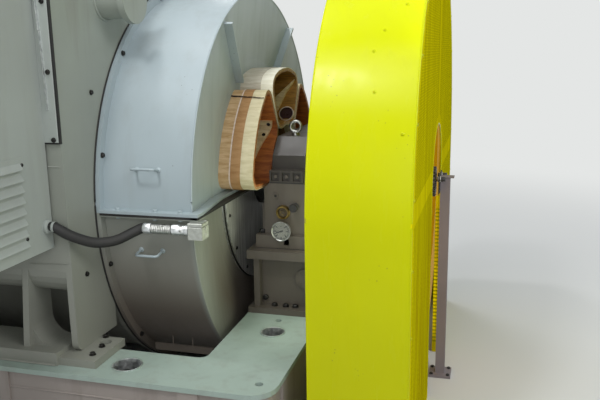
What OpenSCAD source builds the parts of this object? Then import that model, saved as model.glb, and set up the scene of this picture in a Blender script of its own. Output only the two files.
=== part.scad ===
// Horizontal generator of a small hydroelectric set, on its base frame, with flywheel guard
// X runs along the shaft towards the flywheel, Y across it, Z up from the floor

/* [Shaft line] */
// Height of the shaft's centre line above the floor
axis_h = 1100; // [1090:5:1200]
// Radius of the shaft where it runs in the bearings
journal_r = 130; // [110:2:150]
// Radius of the shaft under the rotor core
core_seat_r = 190; // [170:2:210]
// Radial running clearance in the bearings
bearing_gap = 0.25; // [0.2:0.05:0.4]
// Radius of the coupling flange for the turbine
coupling_r = 270; // [250:5:300]
// Thickness of the coupling flange
coupling_t = 80; // [60:5:100]
// Bolt circle radius of the coupling flange
coupling_bolt_r = 215; // [210:1:220]
// Radius of each coupling bolt hole
coupling_hole_r = 17; // [12:1:20]
// Number of coupling bolts
coupling_bolts = 12; // [8:1:16]

/* [Generator frame] */
// Half the distance over the two end plates
frame_half_l = 850; // [840:5:870]
// Half the width of the generator frame
frame_half_w = 1250; // [1230:5:1260]
// Height of the frame's top above the shaft's centre line
frame_top = 1330; // [1300:5:1400]
// Depth of the frame's square part below the shaft's centre line
frame_low = 330; // [310:5:350]
// Radius of the round belly under the frame
belly_r = 1000; // [990:2:1010]
// Thickness of the frame's wrapper plate
wrapper_t = 16; // [10:1:20]
// Thickness of each end plate
end_plate_t = 30; // [24:1:40]
// Height of the foot pads
foot_t = 35; // [30:1:50]
// Height of the rails under the frame
rail_t = 58; // [45:1:70]

/* [Base frame] */
// Height of the base frame's top face above the floor
base_h = 490; // [460:5:500]
// Width of the base frame left free beside the generator
base_margin = 130; // [120:5:150]
// Thickness of the base frame's top plate
base_plate_t = 22; // [18:1:30]
// Thickness of the base frame's walls
base_wall_t = 20; // [14:1:28]
// Distance by which the top plate stands over the walls
base_edge = 14; // [10:1:20]

/* [End bells] */
// Outer radius of each end bell
bell_r = 1000; // [980:2:1010]
// Length of each end bell
bell_l = 450; // [430:5:460]
// Width of the bell's flange on the end plate
bell_flange = 37; // [30:1:45]
// Sheet thickness of the end bell
bell_t = 12; // [8:1:16]
// Depth by which the bell's end face is dished
dish = 38; // [20:1:50]
// Height of the horizontal joint flange on each half
joint_t = 14; // [10:1:18]
// Width by which the joint flange stands out
joint_w = 45; // [35:1:55]
// Radius of the bare seal plate round the shaft
seal_r = 568; // [550:2:580]
// Inner radius of the air openings
air_in_r = 290; // [280:2:300]
// Outer radius of the air openings
air_out_r = 605; // [595:1:610]
// Axial length of each plywood collar
collar_l = 178; // [160:2:184]
// Wall thickness of each plywood collar
collar_t = 22; // [16:1:28]

/* [Bearing pedestals] */
// Distance from the bell's face to the middle of the bearing
bearing_reach = 265; // [260:1:280]
// Half the width of the pedestal's box
pedestal_half_w = 520; // [500:5:540]
// Length of the pedestal's box along the shaft
pedestal_l = 320; // [300:5:330]
// Depth of the pedestal's top face below the centre line
pedestal_drop = 281; // [270:1:290]
// Half the width of the bearing housing
housing_half_w = 455; // [430:5:460]
// Length of the bearing housing along the shaft
housing_l = 230; // [220:5:240]
// Length of the bearing cap along the shaft
cap_l = 172; // [166:2:180]
// Height of the housing's joint above the centre line
housing_split = 50; // [40:1:60]

/* [Flywheel and guard] */
// Free distance from the base frame's end to the guard
guard_gap = 97; // [90:1:110]
// Length of the guard along the shaft
guard_l = 412; // [400:2:430]
// Outer radius of the guard
guard_r = 1197; // [1180:1:1210]
// Sheet thickness of the guard
guard_t = 6; // [3:1:8]
// Height of the guard's horizontal joint above the centre line
guard_seam = 73; // [60:1:90]
// Radius of the sight hole in the outboard face
guard_hole_r = 308; // [300:1:320]
// Half the width of the slot under the sight hole
guard_slot = 285; // [250:5:300]
// Radial clearance between flywheel and guard
wheel_clearance = 197; // [180:1:220]
// Width of the flywheel's rim
wheel_w = 300; // [260:5:320]
// Radial depth of the flywheel's rim
wheel_rim = 260; // [220:5:300]
// Thickness of the flywheel's web
wheel_web = 150; // [120:5:180]
// Outer radius of the toothed speed disc
tooth_r = 80; // [70:1:90]
// Number of teeth on the speed disc
teeth = 24; // [18:1:36]

/* [Hidden] */
$fn = 96;
seat_gap = 0.3;

frame_grey = "#a3ada6";
bell_grey = "#b5c4c6";
base_grey = "#9aab9f";
box_grey = "#9ca39f";
guard_yellow = "#dbe600";
ply_tan = "#c08d5a";
bare_steel = "#6e6f70";

foot_top = base_h + foot_t;
end_x = frame_half_l;
face_x = frame_half_l + bell_l;
inner_face_x = face_x - dish;
bearing_x = face_x + bearing_reach;
bell_flange_r = bell_r + bell_flange;
core_r = belly_r - wrapper_t - seat_gap;

base_half_l = bearing_x + 195;
base_half_w = frame_half_w + base_margin;
pit_half_l = face_x + 78;
pit_half_w = base_half_w - 276;
guard_x = base_half_l + guard_gap;
guard_out_x = guard_x + guard_l;
wheel_r = guard_r - wheel_clearance;

// Places the drawing plane across the shaft, at a distance along it
module shaftwise(x) {
    translate([x, 0, axis_h]) rotate([90, 0, 90]) children();
}

// Repeats on the near side and on the far side
module both_sides() {
    children();
    mirror([0, 1, 0]) children();
}

// Repeats at the right end and at the left end
module both_ends() {
    children();
    mirror([1, 0, 0]) children();
}

function arc(cx, cy, r, a0, a1, n) =
    [for (i = [0:n]) [cx + r * cos(a0 + (a1 - a0) * i / n), cy + r * sin(a0 + (a1 - a0) * i / n)]];

function rounded_box(x0, y0, x1, y1, r) =
    concat(arc(x1 - r, y0 + r, r, -90, 0, 6), arc(x1 - r, y1 - r, r, 0, 90, 6),
        arc(x0 + r, y1 - r, r, 90, 180, 6), arc(x0 + r, y0 + r, r, 180, 270, 6));

// Closed outline of a ring sector with rounded corners
function sector_outline(r0, r1, a0, a1, c) =
    let (di = asin(c / (r0 + c)), do = asin(c / (r1 - c)))
    concat(
        arc((r0 + c) * cos(a0 + di), (r0 + c) * sin(a0 + di), c, a0 + 270, a0 + di + 180, 5),
        [for (i = [1:7]) let (a = a0 + di + (a1 - a0 - 2 * di) * i / 8) [r0 * cos(a), r0 * sin(a)]],
        arc((r0 + c) * cos(a1 - di), (r0 + c) * sin(a1 - di), c, a1 - di + 180, a1 + 90, 5),
        arc((r1 - c) * cos(a1 - do), (r1 - c) * sin(a1 - do), c, a1 + 90, a1 - do, 5),
        [for (i = [1:11]) let (a = a1 - do - (a1 - a0 - 2 * do) * i / 12) [r1 * cos(a), r1 * sin(a)]],
        arc((r1 - c) * cos(a0 + do), (r1 - c) * sin(a0 + do), c, a0 + do, a0 - 90, 5));

// Base frame

base_hole_x = base_half_l - 78;
base_hole_y = base_half_w - 102;
base_hole_r = 17;
inner_hole_x = bearing_x - 5;
inner_hole_y = pedestal_half_w + 97;
cable_x = frame_half_l + 229;
cable_y = base_half_w - 134;
cable_r = 66;
drain_x = bearing_x + 13;
drain_y = pedestal_half_w + 244;
drain_r = 59;
sleeve_t = 7;
sleeve_rise = 4;

// Short tube welded into the top plate, with its rim just above it
module plate_sleeve(x, y, r) {
    translate([x, -y, base_h - base_plate_t]) difference() {
        cylinder(r = r, h = base_plate_t + sleeve_rise, $fn = 64);
        translate([0, 0, -1]) cylinder(r = r - sleeve_t, h = base_plate_t + sleeve_rise + 2, $fn = 64);
    }
}

module base_top_plate() {
    color(base_grey) {
        translate([0, 0, base_h - base_plate_t]) linear_extrude(base_plate_t) difference() {
            polygon(rounded_box(-base_half_l, -base_half_w, base_half_l, base_half_w, 110));
            polygon(rounded_box(-pit_half_l, -pit_half_w, pit_half_l, pit_half_w, 40));
            both_ends() both_sides() {
                translate([base_hole_x, -base_hole_y]) circle(base_hole_r);
                translate([inner_hole_x, -inner_hole_y]) circle(base_hole_r);
                translate([cable_x, -cable_y]) circle(cable_r - sleeve_t / 2);
                translate([drain_x, -drain_y]) circle(drain_r - sleeve_t / 2);
            }
        }
        both_ends() both_sides() {
            plate_sleeve(cable_x, cable_y, cable_r);
            plate_sleeve(drain_x, drain_y, drain_r);
        }
    }
}

stile_t = 8;
stile_w = 110;
front_stiles = [[pit_half_l + 32, 90], [frame_half_l - 300, 50], [0, stile_w]];
end_stile_y = base_half_w - 243;

// Upright strip on the long wall
module front_stile(x, w) {
    translate([x - w / 2, -base_half_w + base_edge - stile_t, 0])
        cube([w, stile_t + base_wall_t / 2, base_h - base_plate_t]);
}

// Upright strip on the end wall
module end_stile(y) {
    translate([base_half_l - base_edge - base_wall_t / 2, y - stile_w / 2, 0])
        cube([stile_t + base_wall_t / 2, stile_w, base_h - base_plate_t]);
}

module base_outer_wall() {
    wall_h = base_h - base_plate_t;
    far_x = base_half_l - base_edge;
    far_y = base_half_w - base_edge;
    in_x = far_x - base_wall_t;
    in_y = far_y - base_wall_t;
    color(base_grey) {
        linear_extrude(wall_h) difference() {
            polygon(rounded_box(-far_x, -far_y, far_x, far_y, 100));
            polygon(rounded_box(-in_x, -in_y, in_x, in_y, 80));
        }
        both_sides() both_ends() for (s = front_stiles) front_stile(s[0], s[1]);
        both_sides() both_ends() end_stile(-end_stile_y);
    }
}

tie_w = 120;
tie_h = 50;

// Walls of the opening, with a cross tie along the floor
module base_inner_wall() {
    wall_h = base_h - base_plate_t;
    out_x = pit_half_l + base_wall_t;
    out_y = pit_half_w + base_wall_t;
    color(base_grey) {
        linear_extrude(wall_h) difference() {
            polygon(rounded_box(-out_x, -out_y, out_x, out_y, 60));
            polygon(rounded_box(-pit_half_l, -pit_half_w, pit_half_l, pit_half_w, 40));
        }
        translate([-tie_w / 2, -pit_half_w - base_wall_t / 2, 0])
            cube([tie_w, 2 * pit_half_w + base_wall_t, tie_h]);
    }
}

// Generator frame

frame_corner = 120;

module frame_outline(inset) {
    polygon(rounded_box(-frame_half_w + inset, -frame_low + inset, frame_half_w - inset,
        frame_top - inset, frame_corner - inset));
    circle(belly_r - inset, $fn = 128);
}

foot_in = 928;

module end_plate() {
    foot_z = foot_top - axis_h;
    color(frame_grey) {
        shaftwise(end_x - end_plate_t) linear_extrude(end_plate_t) difference() {
            union() {
                polygon(rounded_box(-frame_half_w, foot_z, frame_half_w, frame_top, frame_corner / 3));
                circle(bell_flange_r, $fn = 128);
            }
            difference() {
                translate([-foot_in, foot_z - 1]) square([2 * foot_in, 300]);
                circle(bell_flange_r, $fn = 128);
            }
            circle(bell_r - bell_t, $fn = 128);
        }
    }
}

module end_plate_right() { end_plate(); }
module end_plate_left() { mirror([1, 0, 0]) end_plate(); }

module frame_wrapper() {
    wrapper_l = 2 * (frame_half_l - end_plate_t);
    color(frame_grey) {
        shaftwise(-wrapper_l / 2) linear_extrude(wrapper_l) difference() {
            frame_outline(0);
            frame_outline(wrapper_t);
        }
    }
}

rail_out = frame_half_w + 75;
rail_in = frame_half_w - 140;
pad_out = frame_half_w + 62;
pad_in = frame_half_w - 188;
pad_reach = frame_half_l + 116;
pad_back = frame_half_l - end_plate_t - 30;
pad_hole_x = frame_half_l + 55;
pad_hole_y = frame_half_w - 129;
pad_hole_r = 27;

module frame_feet() {
    color(frame_grey) both_sides() difference() {
        union() {
            translate([-pad_back, -rail_out, base_h]) cube([2 * pad_back, rail_out - rail_in, rail_t]);
            both_ends() translate([pad_back, -pad_out, base_h])
                cube([pad_reach - pad_back, pad_out - pad_in, foot_t]);
        }
        both_ends() translate([pad_hole_x, -pad_hole_y, base_h - 1])
            cylinder(r = pad_hole_r, h = foot_t + 2);
    }
}

rib_x = [frame_half_l - 640, frame_half_l - 230];
rib_t = 30;
rib_out = rail_out - 35;
rib_flare = 95;

// Hollow rounding at the foot of a rib, drawn along the rail
module flare_outline() {
    polygon(concat([[0, 0], [rib_flare, 0]],
        [for (a = [10:10:80]) [rib_flare * (1 - sin(a)), rib_flare * (1 - cos(a))]],
        [[0, rib_flare]]));
}

module frame_ribs() {
    rail_top = base_h + rail_t - axis_h;
    color(frame_grey) both_sides() both_ends() for (x = rib_x) {
        shaftwise(x - rib_t / 2) linear_extrude(rib_t) difference() {
            polygon([[-rib_out, rail_top], [-frame_half_w, -frame_low + frame_corner],
                [-rail_in, -frame_low + frame_corner], [-rail_in, rail_top]]);
            frame_outline(0);
        }
        translate([x + rib_t / 2, -rail_in, axis_h + rail_top]) rotate([90, 0, 0])
            linear_extrude(rib_out - rail_in - 30) flare_outline();
    }
}

trunnion_r = 88;
trunnion_l = 120;
trunnion_collar = 24;
trunnion_collar_l = 30;
trunnion_y = frame_half_w - frame_corner - 300;
trunnion_z = frame_top - frame_corner - 280;

module lifting_trunnions() {
    color(frame_grey) both_ends() both_sides() shaftwise(end_x) translate([-trunnion_y, trunnion_z]) {
        cylinder(r = trunnion_r, h = trunnion_l);
        translate([0, 0, trunnion_l]) cylinder(r = trunnion_r + trunnion_collar, h = trunnion_collar_l);
    }
}

box_x1 = frame_half_l - 65;
box_l = 900;
box_x0 = box_x1 - box_l;
box_y = frame_half_w + 600;
box_low = -100;
box_top = frame_top - 280;
box_sheet = 5;
flange_pad = 14;
flange_rim = 64;
flange_low = 342;

// Sheet housing, open at the back towards the frame's wall
module terminal_box() {
    back_y = -frame_half_w - flange_pad;
    color(box_grey) difference() {
        union() {
            translate([box_x0 - flange_rim, back_y, axis_h + flange_low])
                cube([box_l + 2 * flange_rim, flange_pad, box_top + flange_rim - flange_low]);
            translate([box_x0, -box_y, axis_h + box_low]) cube([box_l, box_y + back_y, box_top - box_low]);
        }
        translate([box_x0 + box_sheet, -box_y + box_sheet, axis_h + box_low + box_sheet])
            cube([box_l - 2 * box_sheet, box_y, box_top - box_low - 2 * box_sheet]);
    }
}

vent_y0 = box_y - 90;
vent_y1 = frame_half_w + 160;
vent_z0 = -70;
vent_pitch = 44;
vent_rows = 8;
vent_t = 3;
vent_edge = 24;
louvre_out = 13;
louvre_h = 28;

// Louvred plate on one end of the housing
module vent_plate() {
    vent_w = vent_y0 - vent_y1;
    translate([box_x1, -vent_y0, axis_h + vent_z0])
        cube([vent_t, vent_w, vent_rows * vent_pitch + vent_edge]);
    for (i = [0:vent_rows - 1])
        translate([box_x1 + vent_t, -vent_y1 - vent_edge, axis_h + vent_z0 + 18 + i * vent_pitch])
            rotate([90, 0, 0]) linear_extrude(vent_w - 2 * vent_edge)
                polygon([[0, 0], [louvre_out, 0], [louvre_out, 4], [0, louvre_h]]);
}

module terminal_box_vents() {
    mid_x = (box_x0 + box_x1) / 2;
    color(box_grey) for (side = [0, 1])
        translate([mid_x, 0, 0]) mirror([side, 0, 0]) translate([-mid_x, 0, 0]) vent_plate();
}

core_half_l = 480;
bore_r = 640;

module stator_core() {
    color("#7c5a3c") shaftwise(-core_half_l) difference() {
        cylinder(r = core_r, h = 2 * core_half_l, $fn = 128);
        translate([0, 0, -1]) cylinder(r = bore_r, h = 2 * core_half_l + 2);
    }
}

// End bells

hub_r = 175;
dish_r = 650;

// Half of the bell's section turned through half a circle
module bell_half(start) {
    rotate([0, 0, start]) rotate_extrude(angle = 180, $fn = 128) polygon([
        [bell_r - bell_t, 0], [bell_flange_r, 0], [bell_flange_r, flange_t], [bell_r, flange_t],
        [bell_r, bell_l], [dish_r, bell_l - dish], [hub_r, bell_l - dish],
        [hub_r, bell_l - dish - bell_t], [dish_r, bell_l - dish - bell_t],
        [bell_r - bell_t, bell_l - bell_t]]);
}

flange_t = 25;

// Flange strips along the horizontal joint
module joint_flange(z0) {
    out_r = bell_r + joint_w;
    out_l = bell_l + joint_w - flange_t;
    in_l = bell_l - bell_t - flange_t;
    translate([0, z0, flange_t]) rotate([-90, 0, 0]) mirror([0, 1, 0]) linear_extrude(joint_t)
        for (s = [-1, 1]) scale([s, 1]) polygon([
            [bell_r - bell_t, 0], [out_r, 0], [out_r, out_l], [bell_r - 20, out_l],
            [dish_r, out_l - dish], [hub_r, out_l - dish], [hub_r, in_l - dish],
            [dish_r, in_l - dish], [bell_r - bell_t, in_l]]);
}

// Direction, span and corner radius of each air opening
air_near = [148, 59, 70];
air_top = [90, 55, 85];
air_far = [32, 59, 70];

// Outline of one air opening
module air_outline(way) {
    polygon(sector_outline(air_in_r + collar_t, air_out_r - collar_t,
        way[0] - way[1] / 2 + 3, way[0] + way[1] / 2 - 3, way[2] - collar_t - 3));
}

module bell_upper() {
    color(bell_grey) shaftwise(end_x) {
        difference() {
            bell_half(0);
            for (way = [air_near, air_top, air_far])
                translate([0, 0, bell_l - dish - bell_t - 5]) linear_extrude(bell_t + dish) air_outline(way);
        }
        joint_flange(0);
    }
}

hanger_x = 82;
hanger_l = 317;
hanger_y = 709;
hanger_z = 748;
hanger_h = 36;
hanger_t = 10;
rod_x = [99, 205];
rod_r = 4;

// Flat bar that hangs from two short rods low on the near side of the bell
module bell_hanger() {
    reach = hanger_z - sqrt(bell_r * bell_r - hanger_y * hanger_y) + 1;
    translate([-hanger_y - hanger_t / 2, -hanger_z - hanger_h, hanger_x])
        cube([hanger_t, hanger_h, hanger_l]);
    for (x = rod_x) translate([-hanger_y, -hanger_z - 1, hanger_x + x])
        rotate([-90, 0, 0]) cylinder(r = rod_r, h = reach + 1, $fn = 24);
}

module bell_lower() {
    color(bell_grey) shaftwise(end_x) {
        bell_half(180);
        joint_flange(-joint_t);
        bell_hanger();
    }
}

module bell_upper_right() { bell_upper(); }
module bell_upper_left() { mirror([1, 0, 0]) bell_upper(); }
module bell_lower_right() { bell_lower(); }
module bell_lower_left() { mirror([1, 0, 0]) bell_lower(); }

strap_w = 14;
strap_h = 40;
strap_in = dish_r - 38;
strap_mid = 790;
strap_out = bell_r - 20;
strap_turn = 59;
strap_tilt = 8;
strap_lift = 0.3;

// Flat bars on edge on the bell's end face, leaning a little off the radius
module bell_straps() {
    slope = dish / (bell_r - dish_r);
    out_drop = (bell_r - strap_out) * slope;
    color(bell_grey) both_ends() both_sides() shaftwise(face_x + strap_lift) rotate([0, 0, 180 - strap_turn])
        translate([strap_mid, 0]) rotate([0, 0, strap_tilt]) translate([-strap_mid, 0])
            rotate([90, 0, 0]) translate([0, 0, -strap_w / 2]) linear_extrude(strap_w) polygon([
                [strap_out, -out_drop], [strap_out, strap_h - out_drop], [strap_in, strap_h - dish],
                [strap_in, -dish], [dish_r, -dish]]);
}

handle_w = 105;
handle_d = 60;
handle_r = 6;
handle_bend = 14;

// A bent rod handle with two legs that stand on a face
module rod_handle() {
    reach = handle_w / 2;
    for (s = [0, 1]) mirror([s, 0, 0]) {
        translate([reach, 0, 0]) cylinder(r = handle_r, h = handle_d - handle_bend, $fn = 24);
        translate([reach - handle_bend, 0, handle_d - handle_bend]) rotate([90, 0, 0])
            rotate_extrude(angle = 90, $fn = 32) translate([handle_bend, 0]) circle(handle_r, $fn = 24);
    }
    translate([-reach + handle_bend, 0, handle_d]) rotate([0, 90, 0])
        cylinder(r = handle_r, h = handle_w - 2 * handle_bend, $fn = 24);
}

handle_x = 240;
handle_turns = [11, -10];

module bell_handles() {
    color(bell_grey) both_ends() both_sides() for (a = handle_turns)
        translate([end_x + handle_x, 0, axis_h]) rotate([90 - a, 0, 0])
            translate([0, 0, bell_r]) rod_handle();
}

seal_t = 26;
seal_bore_r = 155;

module shaft_seal_plates() {
    color(bare_steel) both_ends() shaftwise(inner_face_x) difference() {
        union() {
            difference() {
                cylinder(r = seal_r, h = seal_t);
                translate([-seal_r - 1, -joint_t, -1]) cube([2 * seal_r + 2, seal_r + 20, seal_t + 2]);
            }
            cylinder(r = air_in_r - 12, h = seal_t);
        }
        translate([0, 0, -1]) cylinder(r = seal_bore_r, h = seal_t + 2);
        translate([-seal_r - 1, -joint_t - 0.5, -1]) cube([2 * seal_r + 2, 2 * joint_t + 1, joint_w + 2]);
    }
}

collar_layers = [[0, 0.31, 0], [0.31, 0.63, 1.5], [0.63, 1, -1]];

// A bent plywood loop round one air opening, in three laminations
module plywood_collar(way) {
    shaftwise(inner_face_x) for (c = collar_layers) translate([0, 0, c[0] * collar_l])
        linear_extrude((c[1] - c[0]) * collar_l) difference() {
            polygon(sector_outline(air_in_r - c[2], air_out_r + c[2],
                way[0] - way[1] / 2, way[0] + way[1] / 2, way[2]));
            air_outline(way);
        }
}

module plywood_collar_near() { color(ply_tan) both_ends() plywood_collar(air_near); }
module plywood_collar_top() { color(ply_tan) both_ends() plywood_collar(air_top); }
module plywood_collar_far() { color(ply_tan) both_ends() plywood_collar(air_far); }

// Bearing pedestals

ped_foot_t = 30;
ped_top_t = 43;
ped_lip = 26;
ped_frame = 30;
ped_recess = 45;
ped_floor = base_h + ped_foot_t;
ped_top = axis_h - pedestal_drop;
cover_x = bearing_x + 100;
cover_z = axis_h - 430;
cover_r = 50;

// Box between two flanges, with a sunk panel on the near and on the far side
module pedestal() {
    x0 = bearing_x - pedestal_l / 2;
    flange_l = pedestal_l + 2 * ped_lip;
    flange_w = 2 * (pedestal_half_w + ped_lip);
    box_h = ped_top - ped_top_t - ped_floor;
    translate([x0 - ped_lip, -flange_w / 2, base_h]) cube([flange_l, flange_w, ped_foot_t]);
    translate([x0 - ped_lip, -flange_w / 2, ped_top - ped_top_t]) cube([flange_l, flange_w, ped_top_t]);
    difference() {
        translate([x0, -pedestal_half_w, ped_floor]) cube([pedestal_l, 2 * pedestal_half_w, box_h]);
        both_sides() translate([x0 + ped_frame, -pedestal_half_w - 1, ped_floor - 1])
            cube([pedestal_l - 2 * ped_frame, ped_recess + 1, box_h + 2]);
    }
    both_sides() translate([cover_x, -pedestal_half_w + ped_recess, cover_z]) rotate([90, 0, 0])
        cylinder(r = cover_r, h = 14, $fn = 48);
}

module pedestal_bases() { color(frame_grey) both_ends() pedestal(); }

foot_half_w = housing_half_w + 30;
foot_l = housing_l + 80;
foot_h = 68;
tongue_half_w = journal_r + 40;
side_plate_t = 20;

block_half_l = 82;
block_top = 266;
cap_shoulder = 180;

// Side view of housing and cap together, drawn from the bearing's middle, with the cap set in
module bearing_side_outline() {
    half = housing_l / 2;
    set_in = half - cap_l / 2;
    low = foot_h - 1 - pedestal_drop;
    for (s = [-1, 1]) scale([s, 1]) polygon([
        [-1, low], [half, low], [half, housing_split - set_in], [cap_l / 2, housing_split],
        [cap_l / 2, cap_shoulder - 30], [block_half_l, cap_shoulder + 30],
        [block_half_l, block_top + 1], [-1, block_top + 1]]);
}

// Keeps what lies inside that side view
module within_side_view(half_w) {
    intersection() {
        children();
        translate([bearing_x, half_w + 1, axis_h]) rotate([90, 0, 0])
            linear_extrude(2 * half_w + 2) bearing_side_outline();
    }
}

// Bore of the housing, open upwards from the centre line
module bore_outline(half_w, top) {
    circle(journal_r + bearing_gap);
    translate([-half_w, 0]) square([2 * half_w, top]);
}

module bearing_housings() {
    foot_z = axis_h - pedestal_drop;
    side_h = pedestal_drop - foot_h - 60;
    color(frame_grey) both_ends() difference() {
        union() {
            translate([bearing_x - foot_l / 2, -foot_half_w, foot_z])
                cube([foot_l, 2 * foot_half_w, foot_h]);
            within_side_view(housing_half_w)
                translate([bearing_x - housing_l / 2, -housing_half_w, foot_z + foot_h - 1])
                    cube([housing_l, 2 * housing_half_w, pedestal_drop - foot_h + housing_split + 1]);
            translate([bearing_x - housing_l / 2 - side_plate_t, -housing_half_w + 25, foot_z + foot_h])
                cube([housing_l + 2 * side_plate_t, 2 * housing_half_w - 50, side_h]);
        }
        shaftwise(bearing_x - foot_l) linear_extrude(2 * foot_l)
            bore_outline(tongue_half_w, housing_split + 1);
    }
}

band_h = 62;
pocket_pitch = 56;
pocket = 42;
pocket_depth = 12;
pocket_z = axis_h + housing_split + 10;
cap_half_w = 400;
block_half_w = 310;

// Cap seen along the shaft, without its joint flange
module cap_outline() {
    polygon([[-cap_half_w, housing_split], [cap_half_w, housing_split], [cap_half_w, cap_shoulder],
        [block_half_w, block_top], [-block_half_w, block_top], [-cap_half_w, cap_shoulder]]);
}

module bearing_caps() {
    color(frame_grey) both_ends() difference() {
        within_side_view(housing_half_w) union() {
            translate([bearing_x - cap_l / 2, -housing_half_w, axis_h + housing_split])
                cube([cap_l, 2 * housing_half_w, band_h]);
            shaftwise(bearing_x - cap_l / 2) linear_extrude(cap_l) cap_outline();
            translate([bearing_x - housing_l / 2, -tongue_half_w + seat_gap, axis_h])
                cube([housing_l, 2 * (tongue_half_w - seat_gap), housing_split + 1]);
        }
        shaftwise(bearing_x - housing_l) cylinder(r = journal_r + bearing_gap, h = 2 * housing_l);
        both_sides() for (i = [-1:1])
            translate([bearing_x + i * pocket_pitch - pocket / 2, -housing_half_w - 1, pocket_z])
                cube([pocket, pocket_depth + 1, pocket]);
    }
}

plug_x = bearing_x - 55;
plug_z = -16;
sight_x = bearing_x - 16;
sight_z = -97;
gauge_x = bearing_x - 13;
gauge_z = -182;
fitting_x = bearing_x + 48;
fitting_z = -65;

// Turns a shape so that its axis points out of the housing's near side
module on_housing(x, z) {
    translate([x, -housing_half_w, axis_h + z]) rotate([90, 0, 0]) children();
}

module oil_sight_glasses() {
    color("#8a7a3c") both_ends() on_housing(sight_x, sight_z) {
        difference() {
            cylinder(r = 36, h = 24, $fn = 48);
            translate([0, 0, 12]) cylinder(r = 24, h = 20, $fn = 48);
        }
    }
}

module bearing_gauges() {
    color("silver") both_ends() on_housing(gauge_x, gauge_z) {
        cylinder(r = 14, h = 36, $fn = 32);
        translate([0, 0, 36]) cylinder(r = 50, h = 30, $fn = 64);
    }
}

module bearing_fittings() {
    color("#3a3a38") both_ends() {
        on_housing(plug_x, plug_z) cylinder(r = 16, h = 8, $fn = 32);
        on_housing(fitting_x, fitting_z) {
            cylinder(r = 12, h = 30, $fn = 32);
            translate([0, 0, 30]) cylinder(r = 21, h = 26, $fn = 32);
        }
    }
}

eye_y = 262;
eye_r = 27;
eye_rod_r = 8;
eye_base_h = 14;

module cap_eyes() {
    eye_z = eye_base_h + eye_r + 4;
    color("#8a8f8c") both_ends() both_sides() translate([bearing_x, -eye_y, axis_h + block_top]) {
        cylinder(r = 22, h = eye_base_h, $fn = 32);
        cylinder(r = 10, h = eye_base_h + 8, $fn = 32);
        translate([0, 0, eye_z]) rotate([90, 0, 0]) rotate_extrude($fn = 48) translate([eye_r, 0])
            circle(eye_rod_r, $fn = 24);
    }
}

// Flywheel guard

module guard_outline(r) {
    difference() {
        circle(r, $fn = 160);
        translate([-r - 1, -r - 1]) square([2 * r + 2, r + 1]);
    }
    translate([-r, -axis_h]) square([2 * r, axis_h]);
}

module above_seam() {
    intersection() {
        children();
        translate([-guard_r - 1, guard_seam]) square([2 * guard_r + 2, guard_r]);
    }
}

module below_seam() {
    intersection() {
        children();
        translate([-guard_r - 1, -axis_h]) square([2 * guard_r + 2, axis_h + guard_seam]);
    }
}

module guard_ring() {
    difference() {
        guard_outline(guard_r);
        guard_outline(guard_r - guard_t);
    }
}

module guard_rim_upper() {
    color(guard_yellow) shaftwise(guard_x + guard_t) linear_extrude(guard_l - 2 * guard_t)
        above_seam() guard_ring();
}

module guard_rim_lower() {
    inner_r = guard_r - guard_t;
    color(guard_yellow) shaftwise(guard_x + guard_t) linear_extrude(guard_l - 2 * guard_t)
        below_seam() difference() {
            guard_outline(guard_r);
            translate([-inner_r, -axis_h - 1]) square([2 * inner_r, axis_h + guard_r]);
        }
}

inboard_hole_r = journal_r + 60;
slot_fold = 25;

module guard_inboard_upper() {
    color(guard_yellow) shaftwise(guard_x) linear_extrude(guard_t) above_seam() difference() {
        guard_outline(guard_r);
        circle(inboard_hole_r);
    }
}

module guard_inboard_lower() {
    color(guard_yellow) shaftwise(guard_x) linear_extrude(guard_t) below_seam() difference() {
        guard_outline(guard_r);
        circle(inboard_hole_r);
    }
}

module guard_outboard_upper() {
    color(guard_yellow) shaftwise(guard_out_x - guard_t) linear_extrude(guard_t) above_seam() difference() {
        guard_outline(guard_r);
        circle(guard_hole_r);
    }
}

// Two panels with an open slot between them, each folded inwards along the slot
module guard_outboard_lower() {
    fold_top = -sqrt(guard_hole_r * guard_hole_r - guard_slot * guard_slot);
    color(guard_yellow) {
        shaftwise(guard_out_x - guard_t) linear_extrude(guard_t) below_seam() difference() {
            guard_outline(guard_r);
            circle(guard_hole_r);
            translate([-guard_slot, -axis_h - 1]) square([2 * guard_slot, axis_h + 1]);
        }
        both_sides() translate([guard_out_x - slot_fold, -guard_slot - guard_t, 0])
            cube([slot_fold - guard_t / 2, guard_t, axis_h + fold_top - 20]);
    }
}

// Speed sensor

post_size = 50;
post_x = guard_out_x + 44;
post_top = axis_h + 25;
post_foot = 60;
post_foot_t = 15;
disc_t = 22;
disc_x = guard_out_x - 29;

module sensor_post() {
    color("#6f7674") {
        translate([post_x - post_foot, -post_foot, 0]) cube([2 * post_foot, 2 * post_foot, post_foot_t]);
        translate([post_x - post_size / 2, -post_size / 2, post_foot_t])
            cube([post_size, post_size, post_top - post_foot_t]);
        translate([post_x - post_size / 2, -post_size / 2 - 5, post_top])
            cube([post_size + 20, post_size + 10, 6]);
    }
}

sensor_gap = 5;
sensor_r = 12;
sensor_y = 64;
sensor_z = 25;
bracket_t = 6;

// Upright plate on the post that holds two round sensors in front of the toothed disc
module sensor_head() {
    plate_x = post_x - post_size / 2 - bracket_t;
    tip_x = disc_x + disc_t + sensor_gap;
    color("#222222") {
        translate([plate_x, -sensor_y - 22, axis_h - 50]) cube([bracket_t, 2 * sensor_y + 44, 98]);
        both_sides() shaftwise(tip_x) translate([-sensor_y, sensor_z])
            cylinder(r = sensor_r, h = plate_x - tip_x, $fn = 32);
    }
}

// Cable to the bell

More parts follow.
